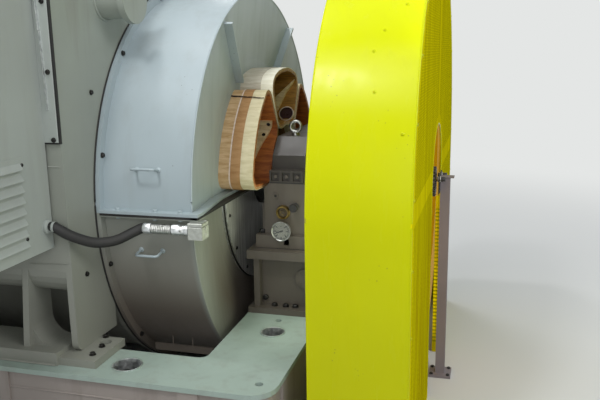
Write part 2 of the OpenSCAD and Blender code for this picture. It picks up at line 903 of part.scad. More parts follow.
conduit_r = 22;
conduit_y0 = frame_half_w + 50;
conduit_y1 = bell_r + 55;
conduit_x0 = box_x1 + 15;
gland_x = frame_half_l + 250;
conduit_z1 = axis_h - 52;
junction_x = face_x + 12;
junction_l = 68;
junction_h = 72;
conduit_steps = [[0, 1, 50], [0.085, 0.99, 46], [0.25, 0.845, 4], [0.456, 0.59, -36], [0.667, 0.327, -40],
    [0.86, 0.082, -14], [0.947, 0.01, -2], [1, 0, 0]];
conduit_route = [for (s = conduit_steps) [conduit_x0 + s[0] * (gland_x - conduit_x0),
    -conduit_y1 - s[1] * (conduit_y0 - conduit_y1), conduit_z1 + s[2]]];

function spline(p, t) =
    let (n = len(p) - 1, k = min(floor(t), n - 1), u = t - k,
        a = p[max(k - 1, 0)], b = p[k], c = p[k + 1], d = p[min(k + 2, n)])
    0.5 * (2 * b + (c - a) * u + (2 * a - 5 * b + 4 * c - d) * u * u + (3 * b - a - 3 * c + d) * u * u * u);

function unit(v) = v / norm(v);

module conduit() {
    rings = 24;
    sides = 12;
    n = len(conduit_route) - 1;
    pts = [for (i = [0:rings]) spline(conduit_route, n * i / rings)];
    dirs = [for (i = [0:rings]) i == 0 || i == rings ? [1, 0, 0] : unit(pts[i + 1] - pts[i - 1])];
    verts = [for (i = [0:rings]) let (u = unit(cross(dirs[i], [0, 0, 1])), v = cross(u, dirs[i]))
        for (j = [0:sides - 1]) pts[i] + conduit_r * (cos(360 * j / sides) * u + sin(360 * j / sides) * v)];
    skin = [for (i = [0:rings - 1]) for (j = [0:sides - 1])
        let (a = i * sides + j, b = i * sides + (j + 1) % sides) [a + sides, b + sides, b, a]];
    first = [for (j = [0:sides - 1]) j];
    last = [for (j = [0:sides - 1]) (rings + 1) * sides - 1 - j];
    color("#1c1c1c") polyhedron(points = verts, faces = concat(skin, [first, last]));
}

gland_r = 24;
box_gland_r = 30;

module conduit_gland() {
    color("silver") {
        translate([box_x1, -conduit_y0, conduit_z1 + 50]) rotate([0, 90, 0])
            cylinder(r = box_gland_r, h = conduit_x0 - box_x1, $fn = 32);
        translate([gland_x, -conduit_y1, conduit_z1]) rotate([0, 90, 0])
            cylinder(r = gland_r, h = junction_x - gland_x, $fn = 32);
    }
}

module junction_box() {
    color("#9a9c9a") translate([junction_x, -conduit_y1 - 30, axis_h - joint_t - junction_h])
        cube([junction_l, 74, junction_h]);
}

// Rotor

shaft_left_x = -bearing_x - 420;
shaft_right_x = disc_x;
shaft_end_r = 65;
hub_r_wheel = 260;
hub_l = 260;
wheel_x = guard_x + (guard_l - wheel_w) / 2;
hub_end_x = wheel_x + wheel_w / 2 + hub_l / 2;
seat_x = core_half_l + 200;

module shaft() {
    body_r = journal_r + 15;
    near_x = bearing_x - housing_l / 2 - side_plate_t - 8;
    out_x = bearing_x + housing_l / 2 + side_plate_t + 8;
    neck_x = shaft_left_x + coupling_t + 20;
    color("#8b8d8e") shaftwise(0) difference() {
        rotate_extrude() polygon([
            [0, shaft_left_x], [coupling_r, shaft_left_x], [coupling_r, shaft_left_x + coupling_t],
            [journal_r + 20, neck_x], [journal_r + 20, -out_x], [journal_r, -out_x],
            [journal_r, -near_x], [body_r, -near_x], [body_r, -seat_x], [core_seat_r, -seat_x],
            [core_seat_r, seat_x], [body_r, seat_x], [body_r, near_x], [journal_r, near_x],
            [journal_r, out_x], [body_r, out_x], [body_r, hub_end_x], [shaft_end_r, hub_end_x + 20],
            [shaft_end_r, shaft_right_x], [0, shaft_right_x]]);
        for (i = [0:coupling_bolts - 1]) rotate([0, 0, i * 360 / coupling_bolts])
            translate([coupling_bolt_r, 0, shaft_left_x - 1])
                cylinder(r = coupling_hole_r, h = coupling_t + 2, $fn = 32);
    }
}

poles = 8;
air_gap = 12;
spider_r = bore_r - 240;
pole_w = 200;
shoe_w = 320;
shoe_t = 60;

module rotor_core() {
    core_l = 2 * core_half_l;
    pole_r = bore_r - air_gap;
    color("#8a4a2c") shaftwise(-core_half_l) difference() {
        union() {
            cylinder(r = spider_r, h = core_l);
            intersection() {
                for (i = [0:poles - 1]) rotate([0, 0, i * 360 / poles]) {
                    translate([0, -pole_w / 2, 0]) cube([bore_r, pole_w, core_l]);
                    translate([pole_r - shoe_t, -shoe_w / 2, 0]) cube([shoe_t + 40, shoe_w, core_l]);
                }
                cylinder(r = pole_r, h = core_l);
            }
        }
        translate([0, 0, -1]) cylinder(r = core_seat_r + seat_gap, h = core_l + 2);
    }
}

// Section of the flywheel: hub, web and rim
module flywheel_section() {
    seat = journal_r + 15 + seat_gap;
    rim_in = wheel_r - wheel_rim;
    web0 = (wheel_w - wheel_web) / 2;
    web1 = (wheel_w + wheel_web) / 2;
    hub0 = (wheel_w - hub_l) / 2;
    hub1 = (wheel_w + hub_l) / 2;
    polygon([
        [seat, hub0], [seat, hub1], [hub_r_wheel, hub1], [hub_r_wheel, web1], [rim_in, web1],
        [rim_in, wheel_w], [wheel_r, wheel_w], [wheel_r, 0], [rim_in, 0],
        [rim_in, web0], [hub_r_wheel, web0], [hub_r_wheel, hub0]]);
}

module flywheel() {
    color("#d88a1c") shaftwise(wheel_x) rotate_extrude($fn = 128) flywheel_section();
}

notch_w = 9;
notch_d = 12;

module toothed_wheel() {
    color("#77797a") shaftwise(disc_x) linear_extrude(disc_t) difference() {
        circle(tooth_r);
        for (i = [0:teeth - 1]) rotate([0, 0, i * 360 / teeth])
            translate([tooth_r - notch_d, -notch_w / 2]) square([notch_d + 5, notch_w]);
    }
}

base_top_plate();
base_outer_wall();
base_inner_wall();
end_plate_right();
end_plate_left();
frame_wrapper();
frame_ribs();
frame_feet();
lifting_trunnions();
terminal_box();
terminal_box_vents();
stator_core();
bell_upper_right();
bell_lower_right();
bell_upper_left();
bell_lower_left();
bell_straps();
bell_handles();
shaft_seal_plates();
plywood_collar_near();
plywood_collar_top();
plywood_collar_far();
pedestal_bases();
bearing_housings();
bearing_caps();
oil_sight_glasses();
bearing_gauges();
bearing_fittings();
cap_eyes();
guard_rim_upper();
guard_rim_lower();
guard_inboard_upper();
guard_inboard_lower();
guard_outboard_upper();
guard_outboard_lower();
sensor_post();
sensor_head();
conduit();
conduit_gland();
junction_box();
shaft();
rotor_core();
flywheel();
toothed_wheel();
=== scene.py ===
"""Dresses a horizontal hydroelectric generator with its flywheel guard and lights it in a studio."""

import logging
import math
from dataclasses import dataclass
from enum import Enum
from functools import partial
from typing import ClassVar, Sequence

import bpy
from mathutils import Matrix, Vector


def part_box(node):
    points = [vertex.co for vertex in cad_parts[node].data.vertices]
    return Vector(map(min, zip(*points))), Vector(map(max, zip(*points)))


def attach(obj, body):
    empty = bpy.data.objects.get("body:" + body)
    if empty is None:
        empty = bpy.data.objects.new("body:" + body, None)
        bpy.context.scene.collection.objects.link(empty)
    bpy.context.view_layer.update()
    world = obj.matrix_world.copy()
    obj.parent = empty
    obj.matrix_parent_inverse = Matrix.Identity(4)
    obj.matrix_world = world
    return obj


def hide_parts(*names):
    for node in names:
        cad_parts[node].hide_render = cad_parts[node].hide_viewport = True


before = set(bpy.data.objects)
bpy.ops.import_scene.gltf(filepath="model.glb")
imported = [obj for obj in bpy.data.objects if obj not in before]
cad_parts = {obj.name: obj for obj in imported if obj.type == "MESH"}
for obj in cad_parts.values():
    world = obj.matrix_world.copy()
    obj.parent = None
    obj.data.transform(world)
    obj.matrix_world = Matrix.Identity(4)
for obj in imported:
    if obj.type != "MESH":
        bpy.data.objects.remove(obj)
LOG = logging.getLogger("generator")
AXIS_HEIGHT = 1.1
Flat = tuple[float, float]
Point = Sequence[float]
Tree, Node, Socket = bpy.types.NodeTree, bpy.types.Node, bpy.types.NodeSocket


class Body(Enum):
    """The two bodies that pieces ride on."""

    MACHINE = "machine"
    ROTOR = "rotor"


class End(Enum):
    """The two ends of the machine, by the sign of X."""

    RIGHT = 1
    LEFT = -1


# The signs of X and Y in each quarter of the machine
QUARTERS = [(side.value, sy) for side in End for sy in (1, -1)]


def linear(colour: str) -> tuple[float, float, float, float]:
    """Turns an sRGB hex colour into linear light.

    Args:
        colour: the colour as six hex digits after a hash sign.

    Returns:
        Red, green, blue and a full alpha.
    """
    channels = [int(colour[i:i + 2], 16) / 255 for i in (1, 3, 5)]
    red, green, blue = (c / 12.92 if c <= 0.04045 else ((c + 0.055) / 1.055) ** 2.4 for c in channels)
    return (red, green, blue, 1.0)


def add(tree: Tree, kind: str, inputs: dict | Sequence = (), stops: Sequence = (), **settings: object) -> Node:
    """Adds one node with its settings, values and links.

    Args:
        tree: the node tree that gets the node.
        kind: Blender's name for the node, without its leading "ShaderNode".
        inputs: a value, hex colour, node or output socket for each input, by name or in the node's own order.
            For a MapRange that order is value, from min, from max, to min and to max; for a Mix it is factor,
            A and B; for a TexNoise it is vector, scale, detail and roughness.
        stops: position and hex colour of each stop, for a colour ramp.
        settings: properties of the node.

    Returns:
        The new node.
    """
    node = tree.nodes.new("ShaderNode" + kind)
    for name, value in settings.items():
        setattr(node, name, value)
    sockets = [s for s in node.inputs if s.enabled]
    for name, value in inputs.items() if isinstance(inputs, dict) else enumerate(inputs):
        socket = sockets[name] if isinstance(name, int) else next(s for s in sockets if s.name == name)
        if isinstance(value, Node):
            value = next(s for s in value.outputs if s.enabled)
        if isinstance(value, Socket):
            tree.links.new(value, socket)
        else:
            socket.default_value = linear(value) if isinstance(value, str) else value
    for element, (position, colour) in zip(node.color_ramp.elements if stops else (), stops):
        element.position, element.color = position, linear(colour)
    return node


@dataclass(frozen=True)
class Finish:
    """What all finishes share: a name, and one Blender material that is made once."""

    name: str
    made: ClassVar[dict[str, bpy.types.Material]] = {}

    def material(self) -> bpy.types.Material:
        """Makes the material on first use.

        Returns:
            The one material of this finish.
        """
        if self.name not in Finish.made:
            material = bpy.data.materials.new(self.name)
            material.use_nodes = True
            tree = material.node_tree
            tree.nodes.clear()
            shader = add(tree, "BsdfPrincipled", self.dress(tree, add(tree, "TexCoord").outputs["Object"]))
            add(tree, "OutputMaterial", {"Surface": shader})
            Finish.made[self.name] = material
        return Finish.made[self.name]

    def dress(self, tree: Tree, place: Socket) -> dict:
        """Builds the finish's own nodes.

        Args:
            tree: the material's node tree.
            place: the point in the machine's frame, in metres.

        Returns:
            What goes into each input of the shader.
        """
        raise NotImplementedError


@dataclass(frozen=True)
class Enamel(Finish):
    """Two-part enamel sprayed on steel plate: satin, with faint clouds, runs of grime and small chips."""

    colour: str
    shade: str
    grime: str = "#6b6358"
    grime_share: float = 0.25
    roughness: float = 0.42
    cloud_mm: float = 700.0
    speck_mm: float = 26.0
    peel_mm: float = 3.0
    bump: float = 0.12
    specular: float = 0.5
    # Where the coat darkens towards the floor, how much, and from where along X less: grime, and painted shade on the
    # guard and the lower bells
    shade_and_grime_from: float = -1.0
    shade_and_grime_to: float = -2.0
    shade_and_grime_share: float = 0.65
    less_shade_and_grime_from_x: float = 9.0
    chip: str = "#4a4743"

    def dress(self, tree: Tree, place: Socket) -> dict:
        """Clouds in the colour, upright runs of grime, grime and painted shade towards the floor, specks and sprayed
        skin.

        Args:
            tree: the material's node tree.
            place: the point in the machine's frame, in metres.

        Returns:
            What goes into each input of the shader.
        """
        node = partial(add, tree)
        clouds = node("TexNoise", (place, 1000 / self.cloud_mm, 4.0, 0.55))
        spread = node("MapRange", (clouds, 0.35, 0.68))
        paint = node("Mix", (spread, self.colour, self.shade), data_type="RGBA")
        upright = node("Mapping", {"Vector": place, "Scale": (9.0, 9.0, 1.1)})
        runs = node("TexNoise", (upright, 1.6, 5.0, 0.6))
        soiled = node("MapRange", (runs, 0.50, 0.80, 0.0, self.grime_share))
        x, _, z = node("SeparateXYZ", (place,)).outputs
        # Darkening towards the floor: grime, and painted shade on the guard and the lower bells
        low = node("MapRange", (z, self.shade_and_grime_from, self.shade_and_grime_to, 0.0, self.shade_and_grime_share))
        out = node("Math", (x,), operation="ABSOLUTE")
        kept = node("MapRange", (out, self.less_shade_and_grime_from_x, self.less_shade_and_grime_from_x + 0.02, 1.0, 0.45))
        lower = node("Math", (low, kept), operation="MULTIPLY")
        dirt = node("Math", (soiled, lower), operation="MAXIMUM")
        dusty = node("Mix", (dirt, paint, self.grime), data_type="RGBA")
        specks = node("TexVoronoi", (place, 1000 / self.speck_mm))
        small = node("MapRange", (specks, 0.12, 0.07, 0.0, 0.55))
        here = node("MapRange", (node("TexNoise", (place, 4.0, 2.0)), 0.58, 0.66))
        chips = node("Math", (small, here), operation="MULTIPLY")
        worn = node("Mix", (chips, dusty, self.chip), data_type="RGBA")
        gloss = node("MapRange", (runs, 0.3, 0.75, self.roughness - 0.06, self.roughness + 0.12))
        peel = node("TexNoise", (place, 1000 / self.peel_mm, 2.0))
        skin = node("Bump", {"Height": peel, "Strength": self.bump, "Distance": 0.0006})
        return {"Base Color": worn, "Roughness": gloss, "Normal": skin, "IOR": 1.5,
                "Specular IOR Level": self.specular}


@dataclass(frozen=True)
class PerforatedSheet(Finish):
    """Painted perforated sheet: rows of round holes, drawn as darker dots of painted shade, between plain margins, a
    little dull from dust.
    """

    colour: str
    shade: str
    hole: str
    hole_r: float
    outer_r: float
    seam_z: float
    # The real holes stand about 8 mm apart; 16 mm is as fine as the picture can show
    pitch_mm: float = 16.0
    ring: float = 0.048
    margin: float = 0.06
    band: float = 0.045
    streak: str = "#b07818"

    def dress(self, tree: Tree, place: Socket) -> dict:
        """Staggered holes, kept off the rim, the sight hole's ring, its upright band and the seam's band.

        Args:
            tree: the material's node tree.
            place: the point in the machine's frame, in metres.

        Returns:
            What goes into each input of the shader.
        """
        node = partial(add, tree)
        _, across, height = node("SeparateXYZ", (place,)).outputs
        up = node("Math", (height, AXIS_HEIGHT), operation="SUBTRACT")
        flat = node("CombineXYZ", (across, up, 0.0))
        per_metre = 1000 / self.pitch_mm
        turned = node("Mapping", {"Vector": flat, "Rotation": (0.0, 0.0, math.radians(45)),
                                  "Scale": (per_metre, per_metre, 1.0)})
        cells = node("TexVoronoi", {"Vector": turned, "Scale": 1.0, "Randomness": 0.0}, voronoi_dimensions="2D")
        radius = node("VectorMath", (flat,), operation="LENGTH").outputs["Value"]
        sideways = node("Math", (across,), operation="ABSOLUTE")
        below = node("Math", (up, 0.0), operation="LESS_THAN")
        reach = node("Mix", (below, radius, sideways))
        from_seam = node("Math", (up, self.seam_z), operation="SUBTRACT")
        off_seam = node("Math", (from_seam,), operation="ABSOLUTE")
        off_middle = node("Math", (sideways, self.band), operation="GREATER_THAN")
        mask = node("MapRange", (cells, 0.36, 0.30))
        for test in (node("Math", (reach, self.outer_r - self.margin), operation="LESS_THAN"),
                     node("Math", (radius, self.hole_r + self.ring), operation="GREATER_THAN"),
                     node("Math", (height, self.margin), operation="GREATER_THAN"),
                     node("Math", (off_seam, self.band), operation="GREATER_THAN"),
                     node("Math", (off_middle, below), operation="MAXIMUM")):
            mask = node("Math", (mask, test), operation="MULTIPLY")
        streaks = node("Mapping", {"Vector": place, "Scale": (1.0, 22.0, 0.9)})
        dust = node("TexNoise", (streaks, 1.5, 4.0))
        paint = node("Mix", (node("MapRange", (dust, 0.36, 0.66)), self.colour, self.shade), data_type="RGBA")
        low = node("MapRange", (height, 1.15, 0.70))
        rusty = node("MapRange", (dust, 0.46, 0.62, 0.0, 0.50))
        share = node("Math", (low, rusty), operation="MULTIPLY")
        streaked = node("Mix", (share, paint, self.streak), data_type="RGBA")
        # The holes take the hole colour, painted shade of the dim inside seen through them
        with_shaded_holes = node("Mix", (mask, streaked, self.hole), data_type="RGBA")
        dent = node("Bump", {"Height": mask, "Strength": 0.5, "Distance": 0.002}, invert=True)
        return {"Base Color": with_shaded_holes, "Roughness": 0.42, "Normal": dent, "Specular IOR Level": 0.0}


class Grain(Enum):
    """How a metal's fine lines run, as a stretch of the pattern along X, Y and Z."""

    UPRIGHT = (160.0, 160.0, 2.0)
    TURNED = (420.0, 6.0, 6.0)
    NONE = (60.0, 60.0, 60.0)


@dataclass(frozen=True)
class WorkedSteel(Finish):
    """Bare steel that was brushed, turned or zinc coated: a metal with fine lines and soft highlights."""

    light: str
    dark: str
    roughness: float
    grain: Grain = Grain.NONE
    anisotropic: float = 0.0
    stain: str = "#3f3b36"
    stain_share: float = 0.25

    def dress(self, tree: Tree, place: Socket) -> dict:
        """Lines of the tool, wide stains, and a roughness that follows the lines.

        Args:
            tree: the material's node tree.
            place: the point in the machine's frame, in metres.

        Returns:
            What goes into each input of the shader.
        """
        node = partial(add, tree)
        stretched = node("Mapping", {"Vector": place, "Scale": self.grain.value})
        lines = node("TexNoise", (stretched, 1.0, 5.0, 0.6))
        metal = node("Mix", (node("MapRange", (lines, 0.35, 0.65)), self.dark, self.light), data_type="RGBA")
        patches = node("TexNoise", (place, 4.5, 4.0))
        stained = node("MapRange", (patches, 0.48, 0.7, 0.0, self.stain_share))
        colour = node("Mix", (stained, metal, self.stain), data_type="RGBA")
        rough = node("MapRange", (lines, 0.3, 0.7, self.roughness - 0.07, self.roughness + 0.12))
        bump = node("Bump", {"Height": lines, "Strength": 0.25, "Distance": 0.0004})
        return {"Base Color": colour, "Metallic": 1.0, "Roughness": rough, "Anisotropic": self.anisotropic,
                "Normal": bump}


@dataclass(frozen=True)
class Veneer(Finish):
    """Sawn and bent plywood: matt, with the grain along the shaft and darker pores and growth bands."""

    light: str
    dark: str
    grain_mm: float = 7.0
    roughness: float = 0.62

    def dress(self, tree: Tree, place: Socket) -> dict:
        """Growth bands and pores, both drawn out along X, and a light grain relief.

        Args:
            tree: the material's node tree.
            place: the point in the machine's frame, in metres.

        Returns:
            What goes into each input of the shader.
        """
        node = partial(add, tree)
        count = 1000 / self.grain_mm
        drawn = node("Mapping", {"Vector": place, "Scale": (count / 14, count / 2.6, count / 2.6)})
        bands = node("TexNoise", {"Vector": drawn, "Scale": 1.0, "Detail": 5.0, "Roughness": 0.62, "Distortion": 0.4})
        tone = node("ValToRGB", (bands,), stops=[(0.34, self.dark), (0.60, self.light)])
        fine = node("Mapping", {"Vector": place, "Scale": (count / 5, count * 3, count * 3)})
        pores = node("TexNoise", (fine, 1.0, 2.0))
        marked = node("MapRange", (pores, 0.60, 0.72, 0.0, 0.5))
        wood = node("Mix", (marked, tone, self.dark), data_type="RGBA")
        relief = node("Bump", {"Height": pores, "Strength": 0.2, "Distance": 0.0006})
        return {"Base Color": wood, "Roughness": self.roughness, "Normal": relief, "IOR": 1.45}


@dataclass(frozen=True)
class Moulded(Finish):
    """Moulded rubber or plastic: one dark body colour under dust, with a fine tool texture."""

    colour: str
    dust: str
    roughness: float
    dust_share: float = 0.35
    texture_mm: float = 1.6

    def dress(self, tree: Tree, place: Socket) -> dict:
        """Dust in soft patches over the body colour, and the tool's texture.

        Args:
            tree: the material's node tree.
            place: the point in the machine's frame, in metres.

        Returns:
            What goes into each input of the shader.
        """
        node = partial(add, tree)
        patches = node("TexNoise", (place, 14.0, 5.0))
        dusty = node("MapRange", (patches, 0.42, 0.75, 0.0, self.dust_share))
        colour = node("Mix", (dusty, self.colour, self.dust), data_type="RGBA")
        grit = node("TexNoise", (place, 1000 / self.texture_mm, 2.0))
        rough = node("MapRange", (patches, 0.0, 1.0, self.roughness - 0.08, self.roughness + 0.15))
        bump = node("Bump", {"Height": grit, "Strength": 0.15, "Distance": 0.0005})
        return {"Base Color": colour, "Roughness": rough, "Normal": bump, "IOR": 1.5}


@dataclass(frozen=True)
class Lens(Finish):
    """Clear pressed glass with a trace of dust: sharp highlights, and what is behind it shows."""

    colour: str

    def dress(self, tree: Tree, place: Socket) -> dict:
        """Glass whose roughness rises a little where dust sits."""
        rough = add(tree, "MapRange", (add(tree, "TexNoise", (place, 60.0, 3.0)), 0.4, 1.0, 0.02, 0.25))
        return {"Base Color": linear(self.colour), "Roughness": rough, "Transmission Weight": 1.0, "IOR": 1.5}


def seen_directly(tree: Tree) -> Node:
    """Adds a mask that is 1 for what camera, metal and glass show, and 0 for light that bounces.

    Args:
        tree: the node tree of a material or of the world.

    Returns:
        The node whose output is the mask.
    """
    path = add(tree, "LightPath").outputs
    seen = add(tree, "Math", (path["Is Camera Ray"], path["Is Glossy Ray"]), operation="MAXIMUM")
    return add(tree, "Math", (seen, path["Is Transmission Ray"]), operation="MAXIMUM")


@dataclass(frozen=True)
class Ground(Finish):
    """Painted screed of a studio floor: pale, matt and even, and it runs out into the pale backdrop."""

    colour: str
    bounce: str
    backdrop: str
    near_m: float = 2.6
    far_m: float = 8.0

    def dress(self, tree: Tree, place: Socket) -> dict:
        """Pale where it is seen, darker for the light it throws back, and the backdrop's tone far out.

        Args:
            tree: the material's node tree.
            place: the point in the machine's frame, in metres.

        Returns:
            What goes into each input of the shader.
        """
        node = partial(add, tree)
        seen = seen_directly(tree)
        away = node("VectorMath", (place,), operation="LENGTH").outputs["Value"]
        far = node("MapRange", (away, self.near_m, self.far_m), interpolation_type="SMOOTHSTEP")
        fading = node("Math", (far, seen), operation="MULTIPLY")
        shown = node("Mix", (seen, self.bounce, self.colour), data_type="RGBA")
        tone = node("Mix", (fading, shown, "#000000"), data_type="RGBA")
        return {"Base Color": tone, "Roughness": 0.8, "Specular IOR Level": 0.0,
                "Emission Color": self.backdrop, "Emission Strength": fading}


# Grey enamel of the stator frame: satin, greenish grey
FRAME_ENAMEL = Enamel("enamel_grey_frame", "#9aa198", "#8d948c", grime_share=0.30, shade_and_grime_from=2.0, shade_and_grime_to=0.6,
                      shade_and_grime_share=0.5)
# Newer, bluer coat on the upper end bells, a little glossier
BELL_ENAMEL = Enamel("enamel_pale_bell", "#a3b0b5", "#98a5a9", "#6f685d", 0.16, 0.36)
# The same coat on the lower halves, browner and darker towards the bottom: dust and oil, and painted shade; less so on
# the end face
LOWER_SHADED_ENAMEL = Enamel("enamel_soiled_bell", "#a3aba4", "#969e96", "#6f655c", 0.30, 0.40, shade_and_grime_from=1.40,
                      shade_and_grime_to=0.60, shade_and_grime_share=0.92, less_shade_and_grime_from_x=1.275)
# Pale sage coat on the base frame's top, scratched and dusty
BASE_ENAMEL = Enamel("enamel_sage_base", "#9aaaa2", "#8b9b92", "#70665d", 0.35, speck_mm=34.0)
# The base frame's walls, browner with splashed dirt
WALL_ENAMEL = Enamel("enamel_soiled_base", "#968e88", "#877f79", "#5f554d", 0.45, speck_mm=34.0, shade_and_grime_from=0.45,
                     shade_and_grime_to=-0.1)
# Smooth coat on thin sheet
BOX_ENAMEL = Enamel("enamel_grey_sheet", "#9fa6a1", "#969c98", grime_share=0.12, roughness=0.45)
# Dark grey on cast iron, whose skin stays rough under the paint, darkened further as painted shade
CAST_ENAMEL = Enamel("enamel_on_cast_iron", "#57514a", "#4c463f", "#3c342d", 0.45, peel_mm=5.0, bump=0.3)
# The bearing caps: the same cast-iron enamel, darker as painted shade
CAP_SHADED_ENAMEL = Enamel("enamel_cap_painted_shade", "#3a3631", "#322e2a", "#2a2520", 0.4, peel_mm=5.0, bump=0.3)
# Bright safety yellow, whose own colour is stronger than its gloss; darker towards the floor as painted shade
GUARD_ENAMEL = Enamel("enamel_yellow_guard", "#ced600", "#c5cd00", "#a8a010", 0.14, 0.22, bump=0.04, specular=0.14,
                      shade_and_grime_from=1.9, shade_and_grime_to=-0.6)
# The guard's inside and back, dull with dust
GUARD_BACK = Enamel("enamel_dusty_yellow", "#b4b22c", "#a5a32a", "#7d7726", 0.4, 0.5, specular=0.2)
# Yellow sheet whose holes are darker olive dots, painted shade of the dim inside behind them
PERFORATED = PerforatedSheet("enamel_yellow_perforated", "#eae00c", "#d0c208", "#9a9404", hole_r=0.308,
                             outer_r=1.197, seam_z=0.073)
# Orange machine enamel on the cast flywheel
WHEEL_ENAMEL = Enamel("enamel_orange_flywheel", "#d8b408", "#c9a206", "#7c5410", 0.2, specular=0.15)
# Worn grey primer with a mauve tinge
POST_ENAMEL = Enamel("enamel_mauve_post", "#8c8387", "#7d7578", "#4a443e", 0.35, 0.5)
# Ground and brushed by hand, upright lines whose light streaks are partly painted highlights
BRUSHED = WorkedSteel("steel_brushed", "#f2f2ee", "#b4b3af", 0.50, Grain.UPRIGHT, 0.4, "#6a655f")
# Lathe-turned shaft steel with fine rings
TURNED = WorkedSteel("steel_turned", "#a9a9a6", "#77787a", 0.28, Grain.TURNED, stain_share=0.12)
ZINC = WorkedSteel("steel_zinc_plated", "#c9cac8", "#93958f", 0.32, stain="#6d6c66")
# Even zinc on the small box's sheet
ZINC_SHEET = WorkedSteel("steel_zinc_sheet", "#bcbfb9", "#a6a9a2", 0.50, stain="#8a8a82", stain_share=0.10)
# Fresh zinc on the conduit's fittings, almost white under the lamps
BRIGHT = WorkedSteel("steel_bright_zinc", "#eceeee", "#c4c8ca", 0.38, stain="#8d8c86", stain_share=0.15)
# Oxide-blackened fasteners, and yellow-brown brass with a dark film
BLACKENED = WorkedSteel("steel_blackened", "#4a4948", "#2b2a2a", 0.45)
BRASS = WorkedSteel("brass_turned", "#94804c", "#65552e", 0.34, stain="#3a3020", stain_share=0.5)
# The three outer veneers of the bent collars
TAN_VENEER = Veneer("plywood_tan_veneer", "#cfb08a", "#b18d5e")
PINK_VENEER = Veneer("plywood_rosy_veneer", "#b58c60", "#a07548", 9.0)
CREAM_VENEER = Veneer("plywood_cream_veneer", "#dcd2b2", "#cabe97", 6.0)
# The pale split edge between two veneers, and the top collar's outer veneer near white as a painted highlight
EDGE_VENEER = Veneer("plywood_split_edge", "#e6d6cc", "#cfbcb0", 5.0)
HIGHLIT_VENEER = Veneer("plywood_bleached_veneer", "#f4f1e2", "#e2ddc8", 6.0)
# Wood that weathered grey, on the root of the upper collar
GREY_VENEER = Veneer("plywood_weathered_root", "#cfcabd", "#b4ab98", 8.0)
# Wood that was oiled on the inside, reddish in the side collars and olive brown in the upper one
OILED_VENEER = Veneer("plywood_oiled_inside", "#c4773c", "#94502a", roughness=0.5)
OLIVE_VENEER = Veneer("plywood_oiled_upper_inside", "#b98a42", "#85602c", roughness=0.5)
BATTEN_WOOD = Veneer("spruce_batten", "#fae8c2", "#e0c698", 5.0)
RUBBER = Moulded("rubber_black", "#0f0f0e", "#4a4743", 0.6, 0.16)
# Near-black steel of the toothed disc, darkened as painted shade of the guard's dim inside, too dull to mirror the
# guard
DARK_DISC_STEEL = Moulded("toothed_disc_painted_shade", "#37332f", "#57504a", 0.5)
PLASTIC = Moulded("plastic_black", "#1d1c1b", "#56524d", 0.42, 0.25)
# Reddish brown varnish on the windings
VARNISH = Moulded("winding_varnish", "#7a3d20", "#a4744c", 0.4)
# The dial's dulled white, and its print
DIAL = Moulded("dial_white_lacquer", "#98968b", "#726f66", 0.4, 0.5)
INK = Moulded("dial_black_print", "#1a1a1a", "#2c2c2c", 0.5, 0.1)
# Open butt joint in the wood, and the plum lacquer of a round wooden cup
GAP = Moulded("butt_joint_gap", "#2c1c12", "#4a3626", 0.8)
PLUM = Moulded("lacquer_plum", "#3a1f22", "#5a4440", 0.4)
GLASS = Lens("glass_clear", "#f4f7f4")
# Oil behind the pane of the sight glass, with the pane's shine
OIL = Moulded("oil_behind_glass", "#3a3018", "#6e5a24", 0.12, 0.6, 20.0)
FLOOR = Ground("screed_pale", "#dcdedd", "#9c9c9a", "#e4e6e5")


def stand(at: Point, axis: Point = (0, 0, 1), turn: float = 0.0) -> Matrix:
    """Finds where a part stands whose own axis is Z.

    Args:
        at: the point for the part's origin.
        axis: the direction that the part's Z takes.
        turn: the turn about that axis, in degrees.

    Returns:
        The matrix that puts the part there.
    """
    tilt = Vector(axis).to_track_quat("Z", "Y").to_matrix().to_4x4()
    return Matrix.Translation(Vector(at)) @ tilt @ Matrix.Rotation(math.radians(turn), 4, "Z")


def link(name: str, data: bpy.types.ID, where: Matrix = Matrix()) -> bpy.types.Object:
    """Puts an object into the scene.

    Args:
        name: the object's name.
        data: its mesh, curve, lamp or camera.
        where: where it stands.

    Returns:
        The new object.
    """
    thing = bpy.data.objects.new(name, data)
    thing.matrix_world = where
    bpy.context.scene.collection.objects.link(thing)
    return thing


def circle(radius: float, sides: int) -> list[Flat]:
    """The corners of a regular outline, anticlockwise."""
    return [(radius * math.cos(math.tau * k / sides), radius * math.sin(math.tau * k / sides)) for k in range(sides)]


def ring_point(x: float, radius: float, degrees: float) -> Vector:
    """A point round the shaft; 0 degrees is the near side and 90 the top."""
    a = math.radians(degrees)
    return Vector((x, -radius * math.cos(a), AXIS_HEIGHT + radius * math.sin(a)))


def arc(x: float, radius: float, first: float, last: float, parts: int) -> list[Vector]:
    """Points round the shaft from one angle to another, in degrees, both ends among them."""
    return [ring_point(x, radius, first + (last - first) * k / parts) for k in range(parts + 1)]


def line(start: Point, end: Point, parts: int) -> list[Vector]:
    """Points from one to another, both ends among them."""
    return [Vector(start).lerp(Vector(end), k / parts) for k in range(parts + 1)]


def spline(points: Sequence[Vector], steps: int) -> list[Vector]:
    """Runs a smooth curve through points.

    Args:
        points: the points that the curve meets.
        steps: the number of pieces that the curve is cut into.

    Returns:
        The curve's points, both ends among them.
    """
    last = len(points) - 1
    curve = []
    for i in range(steps + 1):
        t = last * i / steps
        k = min(int(t), last - 1)
        u = t - k
        a, b, c, d = points[max(k - 1, 0)], points[k], points[k + 1], points[min(k + 2, last)]
        curve.append(0.5 * (2 * b + (c - a) * u + (2 * a - 5 * b + 4 * c - d) * u * u
                            + (3 * b - a - 3 * c + d) * u ** 3))
    return curve


